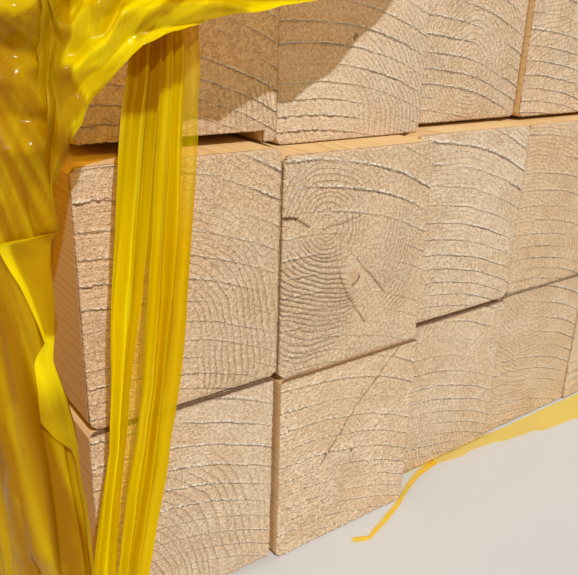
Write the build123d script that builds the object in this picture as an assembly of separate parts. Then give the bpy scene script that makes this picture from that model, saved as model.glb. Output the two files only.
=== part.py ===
"""Bundle of square-sawn pine studs, stacked in rows and wrapped in a torn film hood.

Millimetres. While it is drawn, X runs from the bundle's left side to the right, Y from
the nominal plane of the front ends to the back, and Z up from the floor that the lowest
row lies on. At the end everything moves so that the origin is the middle of the
bundle's box, at the bottom.
"""
from build123d import *
from math import asin, degrees
import os

# stud
stud_width = 120.0
stud_height = 140.0
stud_length = 3000.0
arris = 3.0                 # planed corner along each long edge

# stack
side_gap = 1.0              # closest spacing between two studs of a row
seat_gap = 0.05             # planed face on planed face
shallow_cut = 3.5           # how much one stud of the bottom row is planed too shallow

# Each row from the floor up: how far it is pushed to the right, then for each stud its
# extra gap to the stud on its left, how far its front end is set back from the nominal
# plane (minus stands proud of it), how far a slight bow lifts its front end, how much
# shallower than nominal it is planed, and how much lower its back end lies for that.
stack_rows = {
    "bottom": {
        "shift": 0.0,
        "extra_gap": [0.0, 3.0, 6.0, 1.5, 0.0, 0.5],
        "set_back": [-17.0, -20.0, 2.0, 5.0, 4.0, 7.0],
        "lift": [3.0, 0.5, 0.0, 1.0, 0.0, 0.5],
        "shallow": [0.0, 0.0, shallow_cut, 0.0, 0.0, 0.0],
        "sink": [0.0, 0.0, 0.0, 0.0, 0.0, 0.0],
    },
    "second": {
        "shift": 0.8,
        "extra_gap": [0.0, 0.7, 2.5, 0.0, 0.0, 1.0],
        "set_back": [-16.0, -17.0, 0.0, 1.0, 3.0, -2.0],
        "lift": [6.0, 1.5, 5.5, 2.0, 2.5, 3.0],
        "shallow": [0.0, 0.0, 0.0, 0.0, 0.0, 0.0],
        "sink": [0.0, 0.0, shallow_cut, 0.0, 0.0, 0.0],
    },
    "third": {
        "shift": 12.0,
        "extra_gap": [0.0, 4.0, 0.0, 0.0, 0.0, 0.0],
        "set_back": [4.0, 11.0, 25.0, 20.0, 23.0, 17.0],
        "lift": [6.2, 2.2, 5.0, 5.0, 3.5, 3.5],
        "shallow": [0.0, 0.0, 0.0, 0.0, 0.0, 0.0],
        "sink": [0.0, 0.0, 0.0, 0.0, 0.0, 0.0],
    },
    "top": {
        "shift": 5.0,
        "extra_gap": [0.0, 1.0, 1.0, 0.0, 1.0, 0.0],
        "set_back": [9.0, 3.0, 15.0, 12.0, 6.0, 10.0],
        "lift": [6.5, 6.5, 6.0, 6.0, 6.0, 5.0],
        "shallow": [0.0, 0.0, 0.0, 0.0, 0.0, 0.0],
        "sink": [0.0, 0.0, 0.0, 0.0, 0.0, 0.0],
    },
}

# one stud of the third row has a rebate sawn in its underside, from its front end
rebated_stud = "stud_third_1"
rebate_depth = 6.5
rebate_lip = 8.5            # width of the lip that stays, on the right
rebate_length = 600.0

# film, drawn thicker than it is
film_wall = 2.0
film_clearance = 0.4        # between the studs and the tight film
hem_height = 15.0           # lower hem above the floor
hood_front = 120.0          # the film is tight behind this line, and torn loose before it

# loose front of the film
loose_left = 46.0           # how far it stands out from the left side
loose_front = 50.0          # how far it hangs before the nominal plane of the ends
loose_front_right = 34.0    # the same at the bundle's right corner
loose_corner = 36.0         # roundness of the loose corner on the left
seam_gap = 0.3              # between the tight and the loose part of one film

# The torn edge, from the left drape up and over to the skirt on the right: distance from
# the bundle's left side and drop below the film's top.
tear_left = (-16.0, 309.0)
tear_shoulder = (22.0, 249.0)
tear_crown = (133.0, 210.0)
tear_right = (300.0, 66.0)
skirt_drop = 61.0
skirt_start = 520.0         # where the tear has come up to the skirt's hem

# gathered ribbon of film that hangs before the ends of the first column
ribbon_behind = 2.0         # behind the inside of the loose front
ribbon_depth = 7.0
ribbon_drop = 219.0         # its top below the film's top
ribbon_top = (39.0, 30.0)   # left edge and width of its top
ribbon_gather = (22.0, 44.0)
ribbon_gather_drop = 52.0   # where it is widest, below its own top
ribbon_foot = (-12.0, 26.0)

# flap of film on the floor before the bottom row, on the right
flap_thickness = 2.5
flap_gap = 0.5              # before the foremost stud end that it lies against
flap_column = 3             # the column that its tip lies before
flap_tip = 10.0             # distance of the tip from that stud's left side
flap_reach = 64.0           # how far it spreads before the ends


def row_positions(row):
    """Left side of each stud in a row."""
    left = row["shift"]
    positions = []
    for index, extra in enumerate(row["extra_gap"]):
        if index:
            left += stud_width + side_gap + extra
        positions.append(left)
    return positions


def furthest_back():
    """Where the hindmost stud ends."""
    return stud_length + max(max(row["set_back"]) for row in stack_rows.values())


def widest_right():
    """Right side of the widest row."""
    return max(row_positions(row)[-1] for row in stack_rows.values()) + stud_width


def film_top():
    """Height of the film over the highest corner of the stacked studs."""
    rows = len(stack_rows)
    top_lift = max(list(stack_rows.values())[-1]["lift"])
    return rows * (stud_height + seat_gap) + top_lift + film_clearance + film_wall


def stud_bar(height):
    """One planed stud with its four arrises taken off, front end at Y = 0."""
    section = Rectangle(stud_width, height, align=(Align.MIN, Align.MIN))
    section = chamfer(section.vertices(), arris)
    return extrude(Plane.XZ * section, -stud_length)


def corner_box(width, length, height):
    """A box that runs right, back and up from the corner at its origin."""
    return Box(width, length, height, align=(Align.MIN, Align.MIN, Align.MIN))


def rebate():
    """What is sawn from the underside of the rebated stud."""
    return corner_box(stud_width - rebate_lip, rebate_length, rebate_depth)


def make_studs():
    """Every stud of the bundle, named by its row and its column from the left."""
    pivot = furthest_back()
    studs = {}
    for level, (row_name, row) in enumerate(stack_rows.items()):
        floor = level * (stud_height + seat_gap)
        for index, left in enumerate(row_positions(row)):
            name = f"stud_{row_name}_{index + 1}"
            bar = stud_bar(stud_height - row["shallow"][index])
            if name == rebated_stud:
                bar = bar - rebate()
            lift_angle = degrees(asin(row["lift"][index] / pivot))
            seat = floor - row["sink"][index]
            hinge = Location((left, pivot, seat), (-lift_angle, 0, 0))
            studs[name] = hinge * Pos(0, row["set_back"][index] - pivot, 0) * bar
    return studs


def tight_box(inset):
    """The hood's outer box behind its front line, or its inside when set in by a wall."""
    outside = film_clearance + film_wall - inset
    width = widest_right() + 2 * outside
    length = furthest_back() + outside - hood_front
    height = film_top() - hem_height - inset
    return Pos(-outside, hood_front, hem_height) * corner_box(width, length, height)


def make_hood():
    """Tight film over the top, both long sides and the back ends, open below and in front."""
    return tight_box(0) - tight_box(film_wall)


def loose_plan(inset):
    """Plan of the loose front, from the hood's front line to its folds before the ends."""
    outer = film_clearance + film_wall
    left = -loose_left + inset
    front = -loose_front + inset
    front_right = -loose_front_right + inset
    right = widest_right() + outer - inset
    back = hood_front - seam_gap
    left_seam = -outer + inset
    corner = loose_corner - inset
    outline = Polyline(
        (left_seam, back),
        (left, back / 2),
        (left, front + corner),
        (left + corner, front),
        (right, front_right),
        (right, back),
        close=True,
    )
    return make_face(outline)


def tear_opening():
    """What is torn out of the loose front, as a prism through its front face."""
    marks = [tear_left, tear_shoulder, tear_crown, tear_right, (skirt_start, skirt_drop)]
    torn = [(along, film_top() - drop) for along, drop in marks]
    right = widest_right()
    below = 0.0
    edge = Spline(*torn)
    edge += Polyline(
        torn[-1],
        (right, torn[-1][1]),
        (right, below),
        (torn[0][0], below),
        torn[0],
    )
    return extrude(Plane.XZ * make_face(edge), loose_front)


def make_curtain():
    """Loose film round the front: a drape on the left, a swag above and a short skirt."""
    height = film_top() - hem_height
    hem = Pos(0, 0, hem_height)
    cap = hem * extrude(loose_plan(0), height)
    inside = hem * extrude(loose_plan(film_wall), height - film_wall)
    return cap - inside - tear_opening()


def make_ribbon():
    """Gathered strip of film that hangs from the swag to just above the floor."""
    front = loose_front - film_wall - ribbon_behind
    top = film_top() - ribbon_drop
    stations = [
        (top, ribbon_top),
        (top - ribbon_gather_drop, ribbon_gather),
        (hem_height, ribbon_foot),
    ]
    faces = []
    for height, (left, width) in stations:
        section = Rectangle(width, ribbon_depth, align=(Align.MIN, Align.MIN))
        faces.append(Pos(left, -front, height) * section)
    return loft(faces, ruled=True)


def make_flap():
    """Flap that lies on the floor before the right half of the bottom row."""
    row = stack_rows["bottom"]
    first = flap_column - 1
    lefts = row_positions(row)
    tip = lefts[first] + flap_tip
    right = lefts[-1] + stud_width
    back = min(row["set_back"][first:]) - flap_gap
    middle = (tip + right) / 2
    edge = Spline(
        (tip, back),
        (middle, back - flap_reach / 2),
        (right, back - flap_reach),
    )
    edge += Polyline((right, back - flap_reach), (right, back), (tip, back))
    return extrude(make_face(edge), flap_thickness)


pieces = make_studs()
pieces["film_hood"] = make_hood()
pieces["film_curtain"] = make_curtain()
pieces["film_ribbon"] = make_ribbon()
pieces["film_floor_flap"] = make_flap()

box = Compound(children=[Compound([piece]) for piece in pieces.values()]).bounding_box()
to_origin = Pos(-box.center().X, -box.center().Y, -box.min.Z)

os.makedirs("parts", exist_ok=True)
for name, piece in pieces.items():
    export_step(to_origin * piece, f"parts/{name}.step")

print("origin moved by", to_origin.position)
print("size", box.size)
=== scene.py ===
# %% [markdown]
# A bundle of sawn pine studs, four rows high, in a torn hood of clear yellow film.
# The frame holds the studs at their true places, so every piece below is measured
# from it. Lengths in this file are metres, unless a name ends in _mm.

# %% The frame
import math

import bpy
import numpy as np
from mathutils import Matrix, Vector


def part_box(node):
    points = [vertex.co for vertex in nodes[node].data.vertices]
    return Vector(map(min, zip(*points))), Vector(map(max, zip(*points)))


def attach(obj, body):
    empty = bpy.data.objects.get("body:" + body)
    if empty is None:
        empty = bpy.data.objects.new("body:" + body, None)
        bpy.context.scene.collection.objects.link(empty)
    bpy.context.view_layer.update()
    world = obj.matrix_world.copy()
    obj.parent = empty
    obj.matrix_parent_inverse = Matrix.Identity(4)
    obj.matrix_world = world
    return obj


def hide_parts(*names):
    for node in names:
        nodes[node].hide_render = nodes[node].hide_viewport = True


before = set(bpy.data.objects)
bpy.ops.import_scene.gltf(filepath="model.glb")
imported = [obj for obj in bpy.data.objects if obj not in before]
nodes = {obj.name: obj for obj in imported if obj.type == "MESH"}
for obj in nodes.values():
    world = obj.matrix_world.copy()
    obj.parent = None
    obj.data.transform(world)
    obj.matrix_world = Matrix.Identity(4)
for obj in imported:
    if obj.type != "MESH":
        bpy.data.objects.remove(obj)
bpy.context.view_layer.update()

MM = 0.001
stands_out_mm = 17.0    # how far the first stud's end stands before the nominal front
left_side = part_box("stud_bottom_1")[0].x
front_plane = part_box("stud_bottom_1")[0].y + stands_out_mm * MM
corner = np.array([left_side, front_plane, 0.0])    # left front corner, on the floor
print("nodes", len(nodes), "left side", round(left_side, 4), "front", round(front_plane, 4))

# %% [markdown]
# The photograph was taken close to the left front corner, from a little above the bundle's
# middle and looking down to the right. The camera is set from that corner, by a heading, a
# pitch and a small roll, which is easier to correct than three raw angles.

# %% Camera
def add_object(name, data):
    """Puts a new object with that data in the scene."""
    made = bpy.data.objects.new(name, data)
    bpy.context.scene.collection.objects.link(made)
    return made


camera_offset_mm = (-108.2, -340.1, 355.5)
heading, pitch, roll = math.radians(36.42), math.radians(-21.05), math.radians(1.88)
lens = bpy.data.cameras.new("camera")
lens.lens = 44.1
lens.sensor_width = 36.0
lens.clip_start = 0.01
camera = add_object("camera", lens)
turn = Matrix.Rotation(-heading, 4, "Z") @ Matrix.Rotation(math.pi / 2 + pitch, 4, "X")
place = Matrix.Translation(Vector(corner) + Vector(camera_offset_mm) * MM)
camera.matrix_world = place @ turn @ Matrix.Rotation(roll, 4, "Z")
bpy.context.scene.camera = camera
print("camera at", [round(c, 3) for c in camera.matrix_world.translation])

# %% [markdown]
# Looks in Blender are trees of nodes. They are placed here by a few short helpers, so that
# each tree below reads as the list of its steps.

# %% Helpers for nodes
class Tree:
    """Places and joins nodes in one node tree."""

    def __init__(self, tree):
        self.tree = tree

    def node(self, kind, **settings):
        made = self.tree.nodes.new(kind)
        for name, value in settings.items():
            setattr(made, name, value)
        return made

    def join(self, source, target):
        self.tree.links.new(source, target)

    def feed(self, socket, value):
        """Links an output to the socket, or sets a plain value on it."""
        if isinstance(value, bpy.types.NodeSocket):
            self.join(value, socket)
        else:
            socket.default_value = value

    def filled(self, made, values, sockets=None):
        """The node with its sockets fed in order, or those of the given numbers or names."""
        for socket, value in zip(sockets or range(len(values)), values):
            self.feed(made.inputs[socket], value)
        return made

    def use(self, group, values):
        """Places a node group and feeds its named inputs."""
        made = self.node("ShaderNodeGroup", node_tree=group)
        return self.filled(made, values.values(), list(values)).outputs

    def held(self, label):
        """A value that the mesh carries at its points."""
        return self.node("ShaderNodeAttribute", attribute_name=label).outputs["Fac"]

    def place(self):
        """The x, y and z of each point in the object's own space."""
        split = self.node("ShaderNodeSeparateXYZ")
        self.join(self.node("ShaderNodeTexCoord").outputs["Object"], split.inputs[0])
        return split.outputs

    def math(self, operation, *values, clamp=False):
        made = self.node("ShaderNodeMath", operation=operation, use_clamp=clamp)
        return self.filled(made, values).outputs[0]

    def vector_math(self, operation, *values):
        return self.filled(self.node("ShaderNodeVectorMath", operation=operation), values)

    def squares(self, first, second):
        """The sum of two squares."""
        parts = [self.math("MULTIPLY", value, value) for value in (first, second)]
        return self.math("ADD", *parts)

    def ramp(self, value, start, end):
        """0 before start, 1 after end, smooth between."""
        made = self.node("ShaderNodeMapRange", interpolation_type="SMOOTHSTEP")
        names = ("Value", "From Min", "From Max")
        return self.filled(made, (value, start, end), names).outputs[0]

    def mix(self, factor, first, second):
        """Blends two colours."""
        made = self.node("ShaderNodeMix", data_type="RGBA")
        return self.filled(made, (factor, first, second), (0, 6, 7)).outputs[2]

    def blend(self, factor, first, second):
        """Blends two numbers."""
        made = self.node("ShaderNodeMix", data_type="FLOAT")
        return self.filled(made, (factor, first, second), (0, 2, 3)).outputs[0]

    def blend_shaders(self, *values):
        """Blends two shaders; the first value is the second one's share."""
        return self.filled(self.node("ShaderNodeMixShader"), values).outputs[0]

    def noise(self, vector, scale, detail=2.0, roughness=0.5):
        names = ("Vector", "Scale", "Detail", "Roughness")
        made = self.filled(
            self.node("ShaderNodeTexNoise"), (vector, scale, detail, roughness), names
        )
        return made.outputs["Fac"]

    def vector(self, x, y, z):
        return self.filled(self.node("ShaderNodeCombineXYZ"), (x, y, z)).outputs[0]


print("helpers for nodes", len([name for name in vars(Tree) if not name.startswith("_")]))

# %% [markdown]
# Effects that several looks share are groups of nodes. A group's sockets are named for what
# they do to the wood or the film. Colours are written as they look on screen, because
# that is how they are read off a photograph, and turned into the linear form here.

# %% Groups and colours
def new_group(name, inputs, outputs):
    """An empty group with named number sockets."""
    group = bpy.data.node_groups.new(name, "ShaderNodeTree")
    kind = "NodeSocketFloat"
    for label, default in inputs.items():
        socket = group.interface.new_socket(name=label, in_out="INPUT", socket_type=kind)
        socket.default_value = default
    for label in outputs:
        group.interface.new_socket(name=label, in_out="OUTPUT", socket_type=kind)
    tree = Tree(group)
    return tree, tree.node("NodeGroupInput").outputs, tree.node("NodeGroupOutput").inputs


def srgb(red, green, blue):
    """A colour as it looks on screen, 0 to 255, in the linear form that nodes take."""
    parts = [c / 255 for c in (red, green, blue)]
    line = [c / 12.92 if c <= 0.04045 else ((c + 0.055) / 1.055) ** 2.4 for c in parts]
    return (*line, 1.0)


print("mid grey in linear form", round(srgb(128, 128, 128)[0], 3))

# %% [markdown]
# Sawn wood shows its relief only under light that rakes across it. A lamp high behind the
# camera, where the sun stood in the photograph, lights the upper side of each saw mark and
# throws the swag's shadow on the studs, whose left faces stay in shade. A broad weak lamp on
# the left shines through the film there, and another lights the far end.

# %% Lamps
def add_sun(name, energy, azimuth, elevation, softness):
    """A lamp that shines from that direction; azimuth 0 is the front, 90 the right."""
    sun = bpy.data.lights.new(name, "SUN")
    sun.energy = energy
    sun.angle = math.radians(softness)
    lamp = add_object(name, sun)
    around = Matrix.Rotation(math.radians(azimuth), 4, "Z")
    lamp.matrix_world = around @ Matrix.Rotation(math.radians(90 - elevation), 4, "X")


add_sun("key_lamp", 2.98, -13, 45, 1.2)
add_sun("side_lamp", 0.9, -82, 28, 25)
add_sun("back_lamp", 0.8, 170, 45, 40)
print("lamps", len(bpy.data.lights))

# %% [markdown]
# A pale world fills the shadows. It could be one colour, but then it would either light the
# wood too much or look grey behind it. So rays that are seen, mirrored or pass through the
# film meet a bright backdrop, and all other rays meet a dim, slightly warm room.

# %% Background
room_colour, room_strength = (1.0, 0.97, 0.92, 1.0), 0.15
backdrop_colour, backdrop_strength = (0.9, 0.9, 0.89, 1.0), 1.0
world = bpy.data.worlds.new("studio")
bpy.context.scene.world = world
world.use_nodes = True
sky = Tree(world.node_tree)
sky.tree.nodes.clear()
rays = sky.node("ShaderNodeLightPath").outputs
seen = sky.math("MAXIMUM", rays["Is Camera Ray"], rays["Is Glossy Ray"])
seen = sky.math("MAXIMUM", seen, rays["Is Transmission Ray"])
lights = []
for colour, strength in ((room_colour, room_strength), (backdrop_colour, backdrop_strength)):
    light = sky.node("ShaderNodeBackground")
    light.inputs["Color"].default_value = colour
    light.inputs["Strength"].default_value = strength
    lights.append(light.outputs[0])
out = sky.node("ShaderNodeOutputWorld")
sky.join(sky.blend_shaders(seen, *lights), out.inputs["Surface"])
bpy.context.scene.view_settings.view_transform = "Standard"
print("world", world.name, "with", len(lights), "backgrounds")

# %% [markdown]
# The bundle stands on a plain pale floor, wide enough to fill the view to its horizon. The
# floor isn't part of the object, so it is not attached to the bundle's body. Its light bounces up
# on the wood.

# %% Floor
half = 14.0    # half the floor's width
floor_mesh = bpy.data.meshes.new("floor")
floor_corners = [(-half, -half, 0), (half, -half, 0), (half, half, 0), (-half, half, 0)]
floor_mesh.from_pydata(floor_corners, [], [(0, 1, 2, 3)])
floor = add_object("floor", floor_mesh)
floor_paint = bpy.data.materials.new("pale floor")
floor_paint.use_nodes = True
paint = floor_paint.node_tree.nodes["Principled BSDF"]
paint.inputs["Base Color"].default_value = (0.62, 0.61, 0.59, 1.0)
paint.inputs["Roughness"].default_value = 0.9
floor_mesh.materials.append(floor_paint)
print("floor", 2 * half, "m wide")

# %% [markdown]
# Both the sawn ends and the crumpled film need irregular shapes that come out the same
# every time. A small lattice noise does this: each whole-number point gets a fixed value
# worked out from its place and a seed, and the points between are blended smoothly.

# %% Noise for shapes
def lattice_value(i, j, k, seed):
    """A fixed value from -1 to 1 for each whole-number point."""
    h = (i * 374761393 + j * 668265263 + k * 1013904223 + seed * 974634777) & 0xFFFFFFFF
    h = ((h ^ (h >> 13)) * 1274126177) & 0xFFFFFFFF
    h = ((h ^ (h >> 16)) * 668265263) & 0xFFFFFFFF
    return ((h ^ (h >> 15)) & 0xFFFF) / 32767.5 - 1.0


def soft_noise(x, y, z=0.0, seed=0):
    """Smooth noise about one unit long, from -1 to 1."""
    x, y, z = np.broadcast_arrays(np.asarray(x, float), y, z)
    base = [np.floor(c).astype(np.int64) for c in (x, y, z)]
    part = [c - b for c, b in zip((x, y, z), base)]
    blend = [t * t * t * (t * (6 * t - 15) + 10) for t in part]
    total = 0.0
    for di in (0, 1):
        for dj in (0, 1):
            for dk in (0, 1):
                value = lattice_value(base[0] + di, base[1] + dj, base[2] + dk, seed)
                wx = blend[0] if di else 1 - blend[0]
                wy = blend[1] if dj else 1 - blend[1]
                wz = blend[2] if dk else 1 - blend[2]
                total = total + value * wx * wy * wz
    return total


def facet_noise(x, y, z=0.0, seed=0):
    """Noise made of flat facets with sharp creases between them, from -1 to 1."""
    x, y, z = np.broadcast_arrays(np.asarray(x, float), y, z)
    point = np.stack([x, y, z], axis=-1)
    base = np.floor(point).astype(np.int64)
    part = point - base
    order = np.argsort(-part, axis=-1)
    sorted_part = np.take_along_axis(part, order, axis=-1)
    here = base.copy()
    value = lattice_value(here[..., 0], here[..., 1], here[..., 2], seed)
    total = value * (1 - sorted_part[..., 0])
    for step in range(3):
        axis = order[..., step : step + 1]
        np.put_along_axis(here, axis, np.take_along_axis(here, axis, axis=-1) + 1, axis=-1)
        after = sorted_part[..., step + 1] if step < 2 else 0.0
        value = lattice_value(here[..., 0], here[..., 1], here[..., 2], seed)
        total = total + value * (sorted_part[..., step] - after)
    return total


def smooth_step(value, start, end):
    """0 before start, 1 after end, and a smooth ramp between."""
    t = np.clip((value - start) / (end - start), 0.0, 1.0)
    return t * t * (3 - 2 * t)


print("noise sample", round(float(soft_noise(1.3, 2.4, 0.5, 3)), 3))

# %% [markdown]
# A log grows a ring a year round its pith, so the rings are cylinders along the stud.
# One solid pattern of cylinders gives both the arcs on the sawn ends and the long grain
# on the planed faces. It could be painted face by face, but then the lines would not
# meet at the edges. The darker late wood builds up slowly and ends sharply, and near a
# knot the rings bend round it.

# %% Group: growth rings
tree, given, result = new_group(
    "growth rings",
    {
        "Pith X": 0.0, "Pith Z": 0.0, "Ring Width": 0.0034, "Seed": 0.0,
        "Knot X": 0.0, "Knot Z": 0.0, "Knot Pull": 0.0,
    },
    ("Late Wood", "Ring Tone"),
)
knot_reach = (0.012, 0.021)    # how far a knot bends the rings, across and up
x, y, z = tree.place()
across = tree.math("SUBTRACT", x, given["Pith X"])
upward = tree.math("SUBTRACT", z, given["Pith Z"])
along = tree.math("ADD", tree.math("MULTIPLY", y, 0.16), given["Seed"])
spot = tree.vector(across, along, upward)
wander = tree.math("SUBTRACT", tree.noise(spot, 11.0, 2.0), 0.5)
quiver = tree.math("SUBTRACT", tree.noise(spot, 95.0, 2.0), 0.5)
radius = tree.math("SQRT", tree.squares(across, upward))
radius = tree.math("MULTIPLY_ADD", wander, 0.034, radius)
radius = tree.math("MULTIPLY_ADD", quiver, 0.0022, radius)
aside = tree.math("DIVIDE", tree.math("SUBTRACT", x, given["Knot X"]), knot_reach[0])
over = tree.math("DIVIDE", tree.math("SUBTRACT", z, given["Knot Z"]), knot_reach[1])
near = tree.math("ADD", tree.squares(aside, over), 1.0)
bend = tree.math("DIVIDE", given["Knot Pull"], near)
radius = tree.math("SUBTRACT", radius, bend)
spread = tree.noise(tree.vector(radius, given["Seed"], 0.0), 55.0, 1.0)
years = tree.math("DIVIDE", radius, given["Ring Width"])
years = tree.math("MULTIPLY_ADD", spread, 2.2, years)
year = tree.math("FRACT", years)
darkening = tree.math("POWER", year, 3.2)
cut = tree.ramp(year, 1.0, 0.92)
tree.join(tree.math("MULTIPLY", darkening, cut), result["Late Wood"])
count = tree.math("FLOOR", years)
tone = tree.node("ShaderNodeTexWhiteNoise", noise_dimensions="2D")
tree.join(tree.vector(count, given["Seed"], 0.0), tone.inputs["Vector"])
tree.join(tone.outputs["Value"], result["Ring Tone"])
growth_rings = tree.tree
print("group", growth_rings.name)

# %% [markdown]
# A planed face shows fine streaks that run the stud's length, a little darker or paler
# than the wood round them. Noise that is stretched eighty times along the stud gives
# them, and its height makes the faint roughness that a planer leaves.

# %% Group: planed fibres
tree, given, result = new_group("planed fibres", {"Seed": 0.0}, ("Streak", "Height"))
x, y, z = tree.place()
fine = tree.vector(x, tree.math("MULTIPLY_ADD", y, 0.012, given["Seed"]), z)
streak = tree.noise(fine, 420.0, 3.0, 0.6)
hair = tree.noise(fine, 1500.0, 1.0, 0.5)
tree.join(streak, result["Streak"])
tree.join(tree.math("MULTIPLY_ADD", hair, 0.6, streak), result["Height"])
planed_fibres = tree.tree
print("group", planed_fibres.name)

# %% [markdown]
# A band saw tears the fibres as it crosses them and leaves them standing as pale fuzz
# about a millimetre across. The larger ridges of the fuzz are real relief, made further
# below. This group adds the grain of it: dots in colour and height.

# %% Group: torn fibres
tree, given, result = new_group("torn fibres", {"Seed": 0.0}, ("Dots", "Blotch", "Height"))
x, _, z = tree.place()
spot = tree.vector(x, given["Seed"], z)
dots = tree.noise(spot, 1000.0, 1.0, 0.6)
clumps = tree.noise(spot, 470.0, 1.0, 0.6)
blotch = tree.noise(spot, 32.0, 3.0, 0.55)
mottle = tree.math("MULTIPLY", tree.ramp(dots, 0.32, 0.7), 0.6)
mottle = tree.math("MULTIPLY_ADD", tree.ramp(clumps, 0.36, 0.66), 0.5, mottle)
tree.join(mottle, result["Dots"])
tree.join(blotch, result["Blotch"])
tree.join(tree.math("MULTIPLY_ADD", clumps, 0.5, dots), result["Height"])
torn_fibres = tree.tree
print("group", torn_fibres.name)

# %% [markdown]
# Each saw mark is a row of torn crests with a thin dark line under it, both narrower than
# the relief's grid can hold. So the relief's points only carry a running count of marks,
# and this group draws them from that count, as fine as the light needs: the crest as pale
# fibre with a painted highlight, and the line under it as a painted shadow.

# %% Group: saw marks
tree, given, result = new_group(
    "saw marks",
    {"Count": 0.0, "Strength": 1.0, "Seed": 0.0, "Pitch": 12.0},
    ("Crest", "Shadow", "Height"),
)
x, _, z = tree.place()
spot = tree.vector(x, given["Seed"], z)
above = tree.math("SUBTRACT", tree.math("FRACT", given["Count"]), 0.5)
above = tree.math("MULTIPLY", above, given["Pitch"])
jitter = tree.noise(spot, 620.0, 2.0, 0.6)
above = tree.math("ADD", above, tree.math("MULTIPLY_ADD", jitter, 1.3, -0.65))
beads = tree.ramp(tree.noise(spot, 420.0, 1.0, 0.6), 0.38, 0.58)
bands = []
crest_band, shadow_band = (0.5, 0.95, 0.3, 1.0, 0.02), (-0.65, 0.75, 0.2, 0.6, 0.4)
for middle, outer, inner, beaded, plain in (crest_band, shadow_band):
    band = tree.math("ABSOLUTE", tree.math("SUBTRACT", above, middle))
    band = tree.ramp(band, outer, inner)
    band = tree.math("MULTIPLY", band, tree.math("MULTIPLY_ADD", beads, beaded, plain))
    bands.append(tree.math("MULTIPLY", band, given["Strength"], clamp=True))
crest, shadow = bands
tree.join(crest, result["Crest"])
tree.join(shadow, result["Shadow"])
relief = tree.math("SUBTRACT", crest, tree.math("MULTIPLY", shadow, 0.7))
tree.join(relief, result["Height"])
saw_marks = tree.tree
print("group", saw_marks.name)

# %% [markdown]
# A knot is the foot of a branch, an oval of close brown wood with paler wood round it. It
# could be a piece of its own, but it is flush with the sawn face. So two coats of colour
# follow the distance from its middle, measured in a space stretched to the knot's shape.

# %% Colour of a knot
knot_pull = 0.014


def knot_coats(wood, where, size, tilt):
    """The coats round and on a knot: share, amount and colour of each."""
    lay = wood.node("ShaderNodeMapping", vector_type="TEXTURE")
    wood.join(wood.node("ShaderNodeTexCoord").outputs["Object"], lay.inputs["Vector"])
    lay.inputs["Location"].default_value = where
    lay.inputs["Rotation"].default_value = (0.0, tilt, 0.0)
    lay.inputs["Scale"].default_value = size
    far = wood.vector_math("LENGTH", lay.outputs["Vector"])
    return [
        (wood.ramp(far.outputs["Value"], 1.9, 1.1), 0.6, (226, 196, 162)),
        (wood.ramp(far.outputs["Value"], 0.8, 0.4), 0.5, (196, 152, 104)),
    ]


print("a knot bends the rings by up to", knot_pull, "m")
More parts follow.
